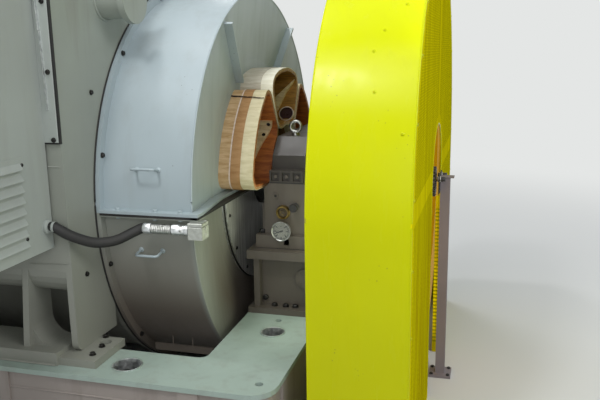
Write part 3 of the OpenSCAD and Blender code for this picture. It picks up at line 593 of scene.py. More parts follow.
class Shape:
    """A mesh that grows part by part, each part with its own finish, and becomes one object."""

    def __init__(self, name: str) -> None:
        """Starts an empty mesh.

        Args:
            name: the piece's name.
        """
        self.name = name
        self.points: list[Vector] = []
        self.faces: list[Sequence[int]] = []
        self.marks: list[int] = []
        self.finishes: list[Finish] = []

    def put(self, points: Sequence[Point], faces: Sequence[Sequence[int]], finish: Finish,
            place: Matrix = Matrix()) -> None:
        """Adds points and faces.

        Args:
            points: the part's own points.
            faces: point numbers of each face.
            finish: what the part is finished with.
            place: where the part stands.
        """
        if finish not in self.finishes:
            self.finishes.append(finish)
        start = len(self.points)
        self.points += [place @ Vector(p) for p in points]
        self.faces += [[start + i for i in face] for face in faces]
        self.marks += [self.finishes.index(finish)] * len(faces)

    def skin(self, rings: Sequence[Sequence[Point]], finish: Finish, place: Matrix = Matrix(), outward: bool = True,
             closed: bool = False, capped: bool = False) -> None:
        """Joins each ring of points to the next with faces.

        Args:
            rings: points of each ring, as many in each; a ring of one point closes a tip.
            finish: what the part is finished with.
            place: where the part stands.
            outward: whether rings that run anticlockwise, seen from the last one, have their faces outside.
            closed: whether the last ring joins the first.
            capped: whether the first and the last ring are filled.
        """
        sides = max(map(len, rings))
        points: list[Point] = []
        numbers = []
        for ring in rings:
            numbers.append([len(points) + j % len(ring) for j in range(sides)])
            points += ring
        faces = []
        for low, high in zip(numbers, numbers[1:] + numbers[:1] if closed else numbers[1:]):
            for j in range(sides):
                after = (j + 1) % sides
                faces.append(list(dict.fromkeys((low[j], low[after], high[after], high[j]))))
        if capped:
            faces += [numbers[0][::-1], numbers[-1]]
        self.put(points, [face[::1 if outward else -1] for face in faces if len(face) > 2], finish, place)

    def lathe(self, profile: Sequence[Flat], finish: Finish, place: Matrix, sides: int = 32) -> None:
        """Turns a profile round Z.

        Args:
            profile: radius and height of each point; a radius of 0 closes the end.
            finish: what the part is finished with.
            place: where the part stands.
            sides: the number of faces round it.
        """
        self.skin([[(x, y, height) for x, y in circle(radius, sides if radius else 1)] for radius, height in profile],
                  finish, place)

    def prism(self, outline: Sequence[Flat], depth: float, finish: Finish, place: Matrix, chamfer: float) -> None:
        """Raises a convex outline along Z, with its top edge chamfered.

        Args:
            outline: points of the outline, anticlockwise.
            depth: height of the prism.
            finish: what the part is finished with.
            place: where the part stands.
            chamfer: width of the chamfer.
        """
        corners = [Vector(p) for p in outline]
        middle = sum(corners, Vector((0, 0))) / len(corners)
        top = [middle.lerp(p, 1 - chamfer / (p - middle).length) for p in corners]
        self.skin([[(*p, height) for p in ring] for ring, height in
                   ((corners, 0.0), (corners, depth - chamfer), (top, depth))], finish, place, capped=True)

    def block(self, corner: Point, opposite: Point, finish: Finish, edge: float = 0.002) -> None:
        """Adds a plate or bar with softened corners between two opposite ones.

        Args:
            corner: one corner.
            opposite: the corner across.
            finish: what it is finished with.
            edge: width of the softened edges.
        """
        low = Vector([*map(min, corner, opposite)])
        x, y, z = Vector([*map(max, corner, opposite)]) - low
        e = min(edge, x / 3, y / 3, z / 3)
        outline = [(e, 0), (x - e, 0), (x, e), (x, y - e), (x - e, y), (e, y), (0, y - e), (0, e)]
        self.prism(outline, z, finish, Matrix.Translation(low), e)

    def tube(self, path: Sequence[Point], radius: float, finish: Finish, sides: int = 6, closed: bool = False,
             wave: float = 0.0) -> None:
        """Sweeps a round section along points.

        Args:
            path: the points at the section's middle.
            radius: the section's radius.
            finish: what the part is finished with.
            sides: the number of faces round it.
            closed: whether the last point joins the first.
            wave: share by which every second ring is narrower.
        """
        middles = [Vector(p) for p in path]
        count = len(middles)
        rings = []
        for i, p in enumerate(middles):
            before = middles[i - 1] if i or closed else p
            after = middles[(i + 1) % count] if i < count - 1 or closed else p
            along = (after - before).normalized()
            across = along.cross(Vector((0, 0, 1)))
            if across.length < 0.05:
                across = along.cross(Vector((0, 1, 0)))
            across.normalize()
            over = across.cross(along).normalized()
            rings.append([p + x * across + y * over for x, y in circle(radius * (1 - wave * (i % 2)), sides)])
        self.skin(rings, finish, outward=False, closed=closed, capped=not closed)

    def hex_bolt(self, at: Point, axis: Point, size: float, finish: Finish = BLACKENED, washer: bool = True,
                 turn: float = 10.0) -> None:
        """Adds the head of a hexagon bolt, with its washer.

        Args:
            at: the point on the face that it is screwed against.
            axis: the direction that the head stands out.
            size: the thread's diameter.
            finish: what it is finished with.
            washer: whether a washer lies under it.
            turn: the head's turn in degrees.
        """
        under = 0.18 * size if washer else 0.0
        if washer:
            self.lathe([(0, 0), (1.05 * size, 0), (1.05 * size, 0.8 * under), (0.98 * size, under), (0, under)],
                       finish, stand(at, axis), 24)
        high = under + 0.62 * size
        self.prism(circle(0.9 * size, 6), high, finish, stand(at, axis, turn), 0.08 * size)
        self.lathe([(0.76 * size, high - 0.001 * size), (0.7 * size, high + 0.05 * size), (0, high + 0.05 * size)],
                   finish, stand(at, axis), 20)

    def screw(self, at: Point, axis: Point, size: float, finish: Finish = BLACKENED) -> None:
        """Adds a round pan head with a sunk hexagon socket.

        Args:
            at: the point on the sheet.
            axis: the direction that the head stands out.
            size: the thread's diameter.
            finish: what it is finished with.
        """
        rim = 0.95 * size
        self.lathe([(rim, 0), (rim, 0.25 * size), (0.8 * rim, 0.48 * size), (0.5 * rim, 0.58 * size),
                    (0.42 * rim, 0.58 * size), (0.40 * rim, 0.25 * size), (0, 0.22 * size)],
                   finish, stand(at, axis), 18)

    def make(self, slot: str, body: Body = Body.MACHINE, replaces: Sequence[str] = (), sharp: float = 32.0
             ) -> bpy.types.Object:
        """Makes the object, which rides on its body.

        Args:
            slot: the record's material slot of the piece; not used.
            body: the body that carries it.
            replaces: the nodes that it stands for.
            sharp: the angle in degrees from which an edge stays sharp.

        Returns:
            The new object.
        """
        mesh = bpy.data.meshes.new(self.name)
        mesh.from_pydata([tuple(p) for p in self.points], [], [list(f) for f in self.faces])
        for finish in self.finishes:
            mesh.materials.append(finish.material())
        mesh.polygons.foreach_set("material_index", self.marks)
        mesh.polygons.foreach_set("use_smooth", [True] * len(mesh.polygons))
        mesh.update()
        mesh.validate()
        mesh.set_sharp_from_angle(angle=math.radians(sharp))
        piece = link(self.name, mesh)
        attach(piece, body.value)
        if replaces:
            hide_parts(*replaces)
        LOG.info("%s: %d faces on %s", self.name, len(mesh.polygons), body.value)
        return piece


def paint(finish: Finish, *nodes: str) -> None:
    """Gives nodes that stay as they are their finish.

    Args:
        finish: the finish for every slot of the nodes.
        nodes: names of the nodes.
    """
    for name in nodes:
        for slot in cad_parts[name].material_slots:
            slot.material = finish.material()
        LOG.info("%s: %s", name, finish.name)


@dataclass
class Studio:
    """Camera, lamps, floor and the pale surroundings."""

    eye: Point = (2.53424, -3.70591, 1.79479)
    yaw: float = 0.2697
    pitch: float = 0.2122
    roll: float = 0.0149
    lens: float = 41.76
    floor_r: float = 40.0
    target: Point = (0.6, 0, AXIS_HEIGHT)
    # Name, place, side and watts of each soft lamp
    lamps: Sequence[tuple] = (("key_lamp", (0.42, -4.37, 6.71), 0.8, 95.0),
                              ("soft_lamp", (0.4, -4.6, 7.2), 3.4, 130.0),
                              ("fill_lamp", (2.9, -4.6, 2.2), 2.2, 45.0),
                              ("right_lamp", (6.5, -3.2, 5.5), 3.0, 170.0),
                              ("ceiling_lamp", (0.07, -0.85, 6.44), 0.45, 54.0),
                              ("top_lamp", (1.2, 0.6, 6.4), 3.6, 16.0),
                              ("back_lamp", (-3.0, 6.5, 4.5), 4.0, 180.0))

    def camera(self) -> None:
        """Stands the camera where the photograph was taken."""
        c, s, cp, sp = math.cos(self.yaw), math.sin(self.yaw), math.cos(self.pitch), math.sin(self.pitch)
        ahead = Vector((-s * cp, c * cp, -sp))
        right, up = Vector((c, s, 0.0)), Vector((-s * sp, c * sp, cp))
        cr, sr = math.cos(self.roll), math.sin(self.roll)
        turned = Matrix((cr * right - sr * up, sr * right + cr * up, -ahead)).transposed().to_4x4()
        data = bpy.data.cameras.new("camera")
        data.lens, data.sensor_width, data.sensor_fit = self.lens, 36.0, "HORIZONTAL"
        data.clip_end = 200.0
        bpy.context.scene.camera = link("camera", data, Matrix.Translation(Vector(self.eye)) @ turned)

    def lamp(self, name: str, at: Point, size: float, power: float, back: Point = (), colour: Point = (1, 1, 1)
             ) -> None:
        """Hangs a square lamp.

        Args:
            name: the lamp's name.
            at: where it hangs.
            size: its side.
            power: its power in watts.
            back: the direction that it turns its back to; if none is given, it faces the machine.
            colour: its light's red, green and blue.
        """
        data = bpy.data.lights.new(name, "AREA")
        data.size, data.energy, data.color = size, power, colour
        link(name, data, stand(at, back or Vector(at) - Vector(self.target)))

    def world(self) -> None:
        """Lights from all round; the camera, metal and glass see a paler tone than the light gives."""
        world = bpy.data.worlds.new("surroundings")
        bpy.context.scene.world = world
        world.use_nodes = True
        tree = world.node_tree
        tree.nodes.clear()
        light, shown = add(tree, "Background", ("#e9eef2", 0.40)), add(tree, "Background", ("#e4e6e5", 1.0))
        add(tree, "OutputWorld", {"Surface": add(tree, "MixShader", (seen_directly(tree), light, shown))})

    def floor(self) -> None:
        """Lays a wide round floor."""
        mesh = bpy.data.meshes.new("floor")
        rim = circle(self.floor_r, 64)
        mesh.from_pydata([(x, y, 0.0) for x, y in rim], [], [list(range(len(rim)))])
        mesh.materials.append(FLOOR.material())
        floor = link("floor", mesh)

    def build(self) -> None:
        """Sets up all of the studio, with two weak lamps close to the guard's sheets."""
        self.camera()
        self.world()
        self.floor()
        for lamp in self.lamps:
            self.lamp(*lamp)
        sheet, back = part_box("guard_outboard_upper")[0].x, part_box("guard_inboard_lower")[0].x
        self.lamp("light_through_holes", (sheet - 0.004, 0.0, AXIS_HEIGHT), 2.0, 6.0, (1, 0, 0), (1.0, 0.95, 0.8))
        self.lamp("light_off_guard", (back - 0.004, -0.66, 0.90), 0.5, 2.1, (1, 0, 0), (0.93, 1.0, 0.80))
        bpy.context.scene.view_settings.view_transform = "Standard"


@dataclass
class CableRun:
    """The rubber-covered conduit from the terminal box to the bell, with its couplings and small box."""

    radius: float = 0.022
    start: Point = (0.800, -1.300, 1.048)
    reach: float = 0.300
    swing: float = 0.245
    # Share of the reach, share of the swing that is left, and rise in mm
    bends: Sequence[Point] = ((0, 1, 50), (0.085, 0.99, 46), (0.25, 0.845, 4), (0.456, 0.59, -36),
                              (0.667, 0.327, -40), (0.86, 0.082, -14), (0.947, 0.01, -2), (1, 0, 0))

    def cord(self) -> None:
        x, y, z = self.start
        path = spline([Vector((x + a * self.reach, y + (1 - b) * self.swing, z + rise / 1000))
                       for a, b, rise in self.bends], 96)
        shape = Shape("rubber_conduit")
        shape.tube(path, self.radius, RUBBER, 28)
        piece = shape.make("black_rubber", replaces=["conduit"], sharp=60)

    def couplings(self) -> None:
        """Turned and ribbed metal sleeves at both ends of the conduit."""
        shape = Shape("conduit_couplings")
        x, y, z = self.start
        first = stand((x - 0.015, y, z + 0.050), (1, 0, 0))
        shape.lathe([(0, 0), (0.030, 0), (0.030, 0.010), (0.028, 0.013), (0.0225, 0.015), (0.0225, 0.030),
                     (0.023, 0.032), (0.023, 0.040), (0.0222, 0.042)], BOX_ENAMEL, first)
        shape.prism(circle(0.0295, 6), 0.012, BOX_ENAMEL, first, 0.002)
        at = stand((x + self.reach, y + self.swing, z), (1, 0, 0))
        shape.lathe([(0.0225, -0.004), (0.0238, 0.0), (0.0238, 0.030), (0.0222, 0.033)], BRIGHT, at)
        shape.lathe([(0.0200 + 0.0024 * (k % 2), 0.033 + 0.0042 * k) for k in range(24)], ZINC, at)
        shape.lathe([(0.0205, 0.130), (0.0238, 0.133), (0.0238, 0.160), (0.0218, 0.164), (0.0218, 0.192),
                     (0.0236, 0.194), (0.0236, 0.209), (0, 0.209)], BRIGHT, at)
        shape.prism(circle(0.0239, 6), 0.014, ZINC, at @ Matrix.Translation((0, 0, 0.170)), 0.0015)
        shape.make("gauge_metal", replaces=["conduit_gland"])

    def junction(self) -> None:
        """The small plated box with its lid seam, screws and knock-outs."""
        shape = Shape("small_plated_box")
        low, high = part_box("junction_box")
        seam, sunk = high.z - 0.0145, 0.0012
        shape.block(low, (high.x, high.y, seam - 0.0015), ZINC_SHEET, 0.003)
        shape.block((low.x + sunk, low.y + sunk, seam - 0.002), (high.x - sunk, high.y - sunk, seam + 0.0005),
                    RUBBER, 0.0005)
        shape.block((low.x, low.y, seam), high, ZINC_SHEET, 0.003)
        for x in (low.x + 0.010, high.x - 0.010):
            for y in (low.y + 0.010, high.y - 0.010):
                shape.screw((x, y, high.z), (0, 0, 1), 0.004, ZINC)
        for z in (low.z + 0.020, low.z + 0.044):
            shape.lathe([(0.0075, 0), (0.0075, 0.001), (0.0062, 0.0012), (0.0060, 0.0003), (0, 0.0003)], ZINC,
                        stand((high.x, low.y + 0.037, z), (1, 0, 0)), 20)
        shape.make("box_metal", replaces=["junction_box"])

    def build(self) -> None:
        """Makes the whole run."""
        self.cord()
        self.couplings()
        self.junction()


@dataclass
class BaseFrame:
    """The welded base frame: plate, walls, sleeves and the weld seams between them."""

    bead: float = 0.005
    wave: float = 0.22
    # Place and radius of the drain and the cable sleeve in each quarter
    sleeves: Sequence[Point] = ((1.578, 0.764, 0.059), (1.079, 1.246, 0.066))

    def seams(self) -> None:
        """Weld beads under the top plate along its sides and ends, and along the horizontal joint of the wall."""
        low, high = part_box("base_top_plate")
        wall_low, wall_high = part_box("base_outer_wall")
        shape = Shape("base_weld_beads")
        inset, under = wall_low.y + 0.008, wall_high.z - 0.003
        for y in (inset, -inset):
            for z in (under, wall_high.z - 0.073):
                path = line((low.x + 0.12, y, z), (high.x - 0.12, y, z), 220)
                for k, point in enumerate(path):
                    point.z += 0.0012 * math.sin(2.3 * k)
                shape.tube(path, self.bead, WALL_ENAMEL, wave=self.wave)
        for x in (wall_low.x + 0.008, wall_high.x - 0.008):
            shape.tube(line((x, low.y + 0.14, under), (x, high.y - 0.14, under), 160), self.bead, WALL_ENAMEL,
                       wave=self.wave)
        shape.make("base_paint")

    def sleeve_linings(self) -> None:
        """Bright bare rims inside the drain and cable sleeves."""
        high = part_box("base_top_plate")[1].z
        shape = Shape("sleeve_rims")
        for x, y, r in self.sleeves:
            for side, sy in QUARTERS:
                shape.lathe([(r - 0.0075, -0.05), (r - 0.0075, -0.001), (r - 0.0055, 0.0003), (r - 0.002, 0.0003),
                             (r - 0.0005, -0.002)], BRIGHT, stand((side * x, sy * y, high)), 48)
        shape.make("base_paint")

    def build(self) -> None:
        """Dresses the base frame."""
        paint(BASE_ENAMEL, "base_top_plate")
        paint(WALL_ENAMEL, "base_outer_wall", "base_inner_wall")
        self.seams()
        self.sleeve_linings()


@dataclass
class GeneratorFrame:
    """The stator frame with its end plates, feet, ribs and trunnions."""

    plate_bolts: Sequence[Flat] = ((0.999, 1.628), (1.143, 0.849))
    pad_bolts: Sequence[Flat] = ((0.875, 1.069), (0.915, 1.170), (0.920, 1.254))
    pad_t: float = 0.035
    trunnion: Flat = (0.830, 2.030)
    trunnion_r: float = 0.092
    rail_half: float = 0.78
    # Both ends of each seam on the near side, as X and height
    near_seams: Sequence[tuple[Flat, Flat]] = (((0.653, 0.915), (0.836, 0.926)), ((0.848, 1.032), (0.846, 0.962)),
                                               ((0.781, 1.340), (0.837, 1.340)))

    def bolts(self) -> None:
        """Bolts in the end plates and on the foot pads."""
        end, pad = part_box("end_plate_right")[1].x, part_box("frame_feet")[0].z + self.pad_t
        shape = Shape("frame_bolts")
        for side, sy in QUARTERS:
            for y, z in self.plate_bolts:
                shape.hex_bolt((side * end, sy * y, z), (side, 0, 0), 0.011)
            for x, y in self.pad_bolts:
                shape.hex_bolt((side * x, sy * y, pad), (0, 0, 1), 0.014)
        shape.make("frame_paint")

    def seams(self) -> None:
        """Weld beads round the trunnions, along the rails on the base, and on the frame's near side."""
        shape = Shape("frame_weld_beads")
        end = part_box("end_plate_right")[1].x + 0.002
        for side, sy in QUARTERS:
            y, z = self.trunnion
            ring = [(side * end, sy * y + across, z + up) for across, up in circle(self.trunnion_r, 72)]
            shape.tube(ring, 0.007, FRAME_ENAMEL, closed=True, wave=0.2)
        low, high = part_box("frame_feet")
        for y in (low.y, high.y):
            shape.tube(line((-self.rail_half, y, low.z + 0.003), (self.rail_half, y, low.z + 0.003), 200), 0.006,
                       FRAME_ENAMEL, wave=0.22)
        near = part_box("frame_wrapper")[0].y
        for (x0, z0), (x1, z1) in self.near_seams:
            shape.tube(line((x0, near, z0), (x1, near, z1), 40), 0.004, FRAME_ENAMEL, wave=0.3)
        shape.make("frame_paint")

    def build(self) -> None:
        """Dresses the frame."""
        paint(FRAME_ENAMEL, "end_plate_right", "end_plate_left", "frame_wrapper", "frame_ribs", "frame_feet",
              "lifting_trunnions")
        paint(VARNISH, "stator_core")
        self.bolts()
        self.seams()


@dataclass
class TerminalBox:
    """The sheet-metal box on the frame's near side, with its flange, covers and louvred plates."""

    rim: float = 0.064
    flange_t: float = 0.014
    flange_low: float = 1.442
    flange_bolts: Sequence[float] = (1.724, 1.453, 1.995)
    # Y and height of the louvred plates' screws
    vent_screws: Sequence[Flat] = ((-1.424, 1.375), (-1.433, 1.080), (-1.746, 1.375), (-1.746, 1.080))
    cover_split: Flat = (1.56, 1.60)
    # Foot, head, how far the lip stands off at each, and its width
    lips: Sequence[Point] = ((1.575, 1.884, 0.030, 0.0235, 0.0025), (1.886, 2.20, 0.019, 0.008, 0.005))

    def covers(self) -> None:
        """The housing with its flange plate and two screwed covers on its long side."""
        low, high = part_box("terminal_box")
        face = low.y + 0.004
        left, right, top = low.x + self.rim, high.x - self.rim, high.z - self.rim
        shape = Shape("terminal_box_sheet")
        shape.block((low.x, high.y - self.flange_t, self.flange_low), high, BOX_ENAMEL)
        shape.block((left, face + 0.003, low.z), (right, high.y - 0.010, top), BOX_ENAMEL, 0.003)
        for z0, z1 in ((low.z + 0.06, self.cover_split[0]), (self.cover_split[1], top - 0.05)):
            shape.block((left + 0.05, face, z0), (right - 0.05, face + 0.005, z1), BOX_ENAMEL, 0.001)
            for k in range(5):
                for z in (z0 + 0.025, z1 - 0.025):
                    shape.screw((left + 0.08 + 0.25 * k * (right - left - 0.16), face, z), (0, -1, 0), 0.0068, ZINC)
        shape.make("box_paint", replaces=["terminal_box"])

    def fasteners(self) -> None:
        """Screws of the louvred plates and bolts of the flange plate."""
        low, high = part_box("terminal_box")
        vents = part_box("terminal_box_vents")
        screws = Shape("box_screws")
        for y, z in self.vent_screws:
            for side, x in ((1, vents[1].x - 0.013), (-1, vents[0].x + 0.013)):
                screws.screw((x, y, z), (side, 0, 0), 0.008)
        for z in self.flange_bolts:
            for x in (low.x + 0.020, high.x - 0.020):
                screws.hex_bolt((x, high.y - self.flange_t, z), (0, -1, 0), 0.010)
        screws.make("dark_steel")

    def edges(self) -> None:
        """Black strips round the flange plate as painted shadow of the gap behind it, and the bare bent lip beside the
        box's right side.
        """
        low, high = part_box("terminal_box")
        face, bottom = high.y - self.flange_t, self.flange_low
        shape = Shape("box_flange_painted_shadow")
        # Black strips along the plate's sides and bottom: painted shadow of the gap behind them
        for x0, z0, x1, z1 in ((low.x - 0.010, bottom - 0.006, low.x + 0.002, high.z - 0.003),
                               (high.x - 0.002, bottom - 0.006, high.x + 0.010, high.z - 0.003),
                               (low.x + 0.001, bottom - 0.007, high.x - 0.001, bottom + 0.002)):
            shape.block((x0, face + 0.003, z0), (x1, face + 0.013, z1), RUBBER, 0.001)
        shape.make("black_rubber")
        lip = Shape("box_bent_lips")
        for z0, z1, foot, head, wide in self.lips:
            rings = []
            for z, off in ((z0, foot), (z1, head)):
                x = high.x - self.rim + off
                rings.append([(x, face + 0.001, z), (x + wide, face + 0.001, z), (x + wide, face - 0.009, z),
                              (x, face - 0.009, z)])
            lip.skin(rings, BRIGHT, capped=True)
        lip.make("box_paint")

    def build(self) -> None:
        """Dresses the box."""
        paint(BOX_ENAMEL, "terminal_box_vents")
        self.covers()
        self.fasteners()
        self.edges()


@dataclass
class EndBells:
    """The split end bells with their gaskets, bolts, straps, handles and bare seal plates."""

    radius: float = 1.0
    flange_r: float = 1.037
    seal_r: float = 0.568
    drum_end: float = 1.300
    joint_bolts: Sequence[float] = (0.955, 1.135, 1.255)
    bolt_turns: Sequence[float] = (14.3, 42.8, 71.5, 108.5, 137.2, 165.7)
    handle_turns: Flat = (11.0, -10.0)
    handle_feet: Flat = (1.0375, 1.1425)

    def gaskets(self) -> None:
        """Round rubber cord in the corner of each flange, and flat rubber in the horizontal joint."""
        shape = Shape("bell_gaskets")
        root, face = (corner.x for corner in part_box("bell_lower_right"))
        for side in End:
            ring = arc(side.value * (root + 0.003), self.flange_r + 0.002, 0, 360, 240)[:-1]
            shape.tube(ring, 0.0038, RUBBER, 10, closed=True)
        for side, sy in QUARTERS:
            for x0, x1, y0 in ((root + 0.026, face - 0.001, 0.995), (face - 0.034, face + 0.0012, 0.176)):
                shape.block((side * x0, sy * y0, AXIS_HEIGHT - 0.009), (side * x1, sy * 1.0475, AXIS_HEIGHT + 0.001),
                            RUBBER, 0.0008)
        shape.make("black_rubber")

    def bolts(self) -> None:
        """Bolts round the flange, and bolts with nuts through the horizontal joint."""
        shape = Shape("bell_bolts")
        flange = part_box("bell_lower_right")[0].x + 0.025
        for side in End:
            for turn in self.bolt_turns:
                for a in (turn, -turn):
                    shape.hex_bolt(ring_point(side.value * flange, self.radius + 0.019, a), (side.value, 0, 0), 0.012,
                                   turn=a)
        for side, sy in QUARTERS:
            for x in self.joint_bolts:
                for way, turn in ((1, 37 * x), (-1, 10.0)):
                    shape.hex_bolt((side * x, sy * 1.023, AXIS_HEIGHT + 0.014 * way), (0, 0, way), 0.012, BELL_ENAMEL,
                                   turn=turn)
        shape.make("bell_paint")

    def seams(self) -> None:
        """The rounded weld where drum and end face meet, and beads round the handles' feet."""
        shape = Shape("bell_weld_beads")
        sunk = 0.0015
        for side in End:
            # The lower arc takes the lower halves' coat, with its painted shade
            for first, last, coat in ((1.0, 179.0, BELL_ENAMEL), (181.0, 359.0, LOWER_SHADED_ENAMEL)):
                shape.tube(arc(side.value * (self.drum_end - sunk), self.radius - sunk, first, last, 220), 0.0045,
                           coat, 8, wave=0.06)
        for side, sy in QUARTERS:
            for turn in self.handle_turns:
                for x in self.handle_feet:
                    at = ring_point(side * x, self.radius, turn)
                    at.y *= sy
                    shape.lathe([(0.013, -0.002), (0.0115, 0.002), (0.008, 0.0045), (0.0062, 0.0075)], BELL_ENAMEL,
                                stand(at, (0, at.y, at.z - AXIS_HEIGHT)), 16)
        shape.make("bell_paint")

    def seal_cords(self) -> None:
        """Black cord round the seal plate's edge, and its small fixing screws."""
        shape, screws = Shape("seal_plate_cords"), Shape("seal_plate_screws")
        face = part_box("shaft_seal_plates")[1].x
        for side in End:
            shape.tube(arc(side.value * (face - 0.012), self.seal_r + 0.001, -2, -178, 120), 0.0045, RUBBER, 12)
            for k in range(8):
                at = ring_point(side.value * face, self.seal_r - 0.030, -12 - 22.3 * k)
                screws.screw(at, (side.value, 0, 0), 0.010)
        shape.make("black_rubber")
        screws.make("dark_steel")

    def build(self) -> None:
        """Dresses the bells."""
        paint(BELL_ENAMEL, "bell_upper_right", "bell_upper_left", "bell_straps", "bell_handles")
        paint(LOWER_SHADED_ENAMEL, "bell_lower_right", "bell_lower_left")
        paint(BRUSHED, "shaft_seal_plates")
        self.gaskets()
        self.bolts()
        self.seams()
        self.seal_cords()


@dataclass
class PlywoodCollar:
    """A loop of bent plywood round one air opening, seen in three widths of veneer."""

    name: str
    middle: float
    span: float
    corner: float
    batten: bool = False
    strut: bool = False
    skins: tuple[Finish, ...] = (TAN_VENEER, PINK_VENEER, CREAM_VENEER)
    inside: Finish = OILED_VENEER
    inner_r: float = 0.290
    outer_r: float = 0.605
    wall: float = 0.022
    root: float = 1.262
    length: float = 0.178
    # Along the shaft, away from it, and off the opening's wall
    strut_outline: Sequence[Point] = ((1.345, 0.396, 0.0), (1.383, 0.500, 0.004), (1.437, 0.577, 0.026),
                                      (1.350, 0.497, 0.004), (1.275, 0.420, 0.0), (1.275, 0.350, 0.0),
                                      (1.325, 0.350, 0.0))
    strut_t: float = 0.016
    cup: Flat = (1.399, 0.364)
    batten_t: float = 0.013
    # The batten's back and front, as distances from the mouth, and how much the front draws back along it
    batten_ends: Flat = (0.105, 0.018)
    batten_taper: float = 0.078
    # Number of the place along the batten, and distance from the mouth, of each screw
    batten_screws: Sequence[tuple[int, float]] = ((1, 0.040), (9, 0.070))
    # Angle of the butt joint, its slant in degrees, and its half width at root and mouth
    crack_turn: float = 51.3
    crack_slant: float = 1.3
    crack_half: Flat = (0.00525, 0.0025)

    def loop(self, inset: float) -> list[Flat]:
        """The collar's outline, inset evenly, with rounded corners.

        Args:
            inset: how far it lies inside the outer skin, in metres.

        Returns:
            Points round the shaft as Y and height above it.
        """
        r0, r1, c = self.inner_r + inset, self.outer_r - inset, self.corner - inset
        half, quarter = math.radians(self.span / 2) - inset / 0.42, math.pi / 2
        low, high = math.radians(self.middle) - half, math.radians(self.middle) + half
        di, do = math.asin(c / (r0 + c)), math.asin(c / (r1 - c))
        loop: list[Flat] = []
        # Distance and angle of each bend's centre, its radius and its two angles; long sides bend round the shaft
        for out, turn, radius, first, last in ((r0 + c, low + di, c, low + 3 * quarter, low + di + math.pi),
                                               (0, 0, r0, low + di, high - di),
                                               (r0 + c, high - di, c, high - di + math.pi, high + quarter),
                                               (r1 - c, high - do, c, high + quarter, high - do),
                                               (0, 0, r1, high - do, low + do),
                                               (r1 - c, low + do, c, low + do, low - quarter)):
            steps = 8 if out else 16
            for k in range(0, 9) if out else range(1, 16):
                a = first + (last - first) * k / steps
                loop.append((out * math.cos(turn) + radius * math.cos(a), out * math.sin(turn) + radius * math.sin(a)))
        return loop

    def ring(self, side: End, x: float, inset: float) -> list[Point]:
        """The outline at one place along the shaft, where it wanders more the nearer it is to the mouth.

        Args:
            side: which end of the machine.
            x: the place along the shaft.
            inset: how far the ring lies inside the outer skin.

        Returns:
            The ring's points.
        """
        free = (x - self.root) / self.length
        points = []
        for k, (y, z) in enumerate(self.loop(inset)):
            grown = 1 + free * (0.0016 * math.sin(k * 0.71 + self.middle) + 0.0011 * math.sin(k * 1.9))
            points.append((side.value * x, y * grown, AXIS_HEIGHT + z * grown))
        return points

    def band(self, shape: Shape, side: End, inset: float, ends: Flat, finish: Finish, outward: bool = True) -> None:
        """Adds one band of veneer between two places along the shaft.

        Args:
            shape: the mesh that gets it.
            side: which end of the machine.
            inset: how far the band lies inside the outer skin.
            ends: where it starts and where it ends.
            finish: the veneer.
            outward: whether the band faces away from the opening.
        """
        rows = 4
        rings = [self.ring(side, ends[0] + (ends[1] - ends[0]) * row / rows, inset) for row in range(rows + 1)]
        shape.skin(rings, finish, outward=outward == (side is End.RIGHT))

    def rim(self, shape: Shape, side: End, x: float, insets: Sequence[float], finishes: Sequence[Finish]) -> None:
        """Adds the plies of one edge, from the outer skin inwards.

        Args:
            shape: the mesh that gets them.
            side: which end of the machine.
            x: the edge's place along the shaft.
            insets: where the plies meet.
            finishes: the veneer of each ply.
        """
        for *pair, finish in zip(insets, insets[1:], finishes):
            shape.skin([self.ring(side, x, inset) for inset in pair], finish, outward=side is End.LEFT)

    def add_batten(self, shape: Shape, screws: Shape, side: End) -> None:
        """A tapered batten that bends round the opening's inner corner, held by two screws.

        Args:
            shape: the mesh that gets the batten.
            screws: the mesh that gets its screws.
            side: which end of the machine.
        """
        mouth = self.root + self.length
        back, front = (mouth - end for end in self.batten_ends)
        walls = []
        for inset in (self.wall, self.wall + self.batten_t):
            loop = [Vector(p) for p in self.loop(inset)]
            walls.append([loop[0].lerp(loop[-1], 0.20), loop[0].lerp(loop[-1], 0.10)] + loop[:20])
        rings = []
        for k, (outer, inner) in enumerate(zip(*walls)):
            tip = front - self.batten_taper * k / (len(walls[0]) - 1)
            rings.append([(side.value * x, p.x, AXIS_HEIGHT + p.y)
                          for x, p in ((back, outer), (tip, outer), (tip, inner), (back, inner))])
        shape.skin(rings, BATTEN_WOOD, capped=True)
        for k, off in self.batten_screws:
            outer, inner = walls[0][k], walls[1][k]
            screws.screw((side.value * (mouth - off), inner.x, AXIS_HEIGHT + inner.y), (0, *(inner - outer)), 0.010)

    def add_strut(self, shape: Shape, side: End) -> None:
        """A wedge of batten across the far wall of the opening, and a round cup below it.

        Args:
            shape: the mesh that gets both.
            side: which end of the machine.
        """
        turn = math.radians(self.middle - self.span / 2)
        along = Vector((0, math.cos(turn), math.sin(turn)))
        inward = Vector((0, -math.sin(turn), math.cos(turn)))
        on_shaft = Vector((0, 0, AXIS_HEIGHT))
        foot = self.wall - 0.002
        rings = [[on_shaft + Vector((side.value * x, 0, 0)) + along * reach + inward * (base + lift)
                  for x, reach, lift in self.strut_outline] for base in (foot, foot + self.strut_t)]
        shape.skin(rings, BATTEN_WOOD, capped=True)
        x, reach = self.cup
        cup = stand(on_shaft + Vector((side.value * x, 0, 0)) + along * reach + inward * foot, inward)
        shape.lathe([(0.044, 0), (0.044, 0.020), (0.041, 0.022), (0.038, 0.020)], EDGE_VENEER, cup, 40)
        shape.lathe([(0.038, 0.020), (0.034, 0.006), (0.010, 0.005), (0.006, 0.010), (0, 0.011)], PLUM, cup, 40)

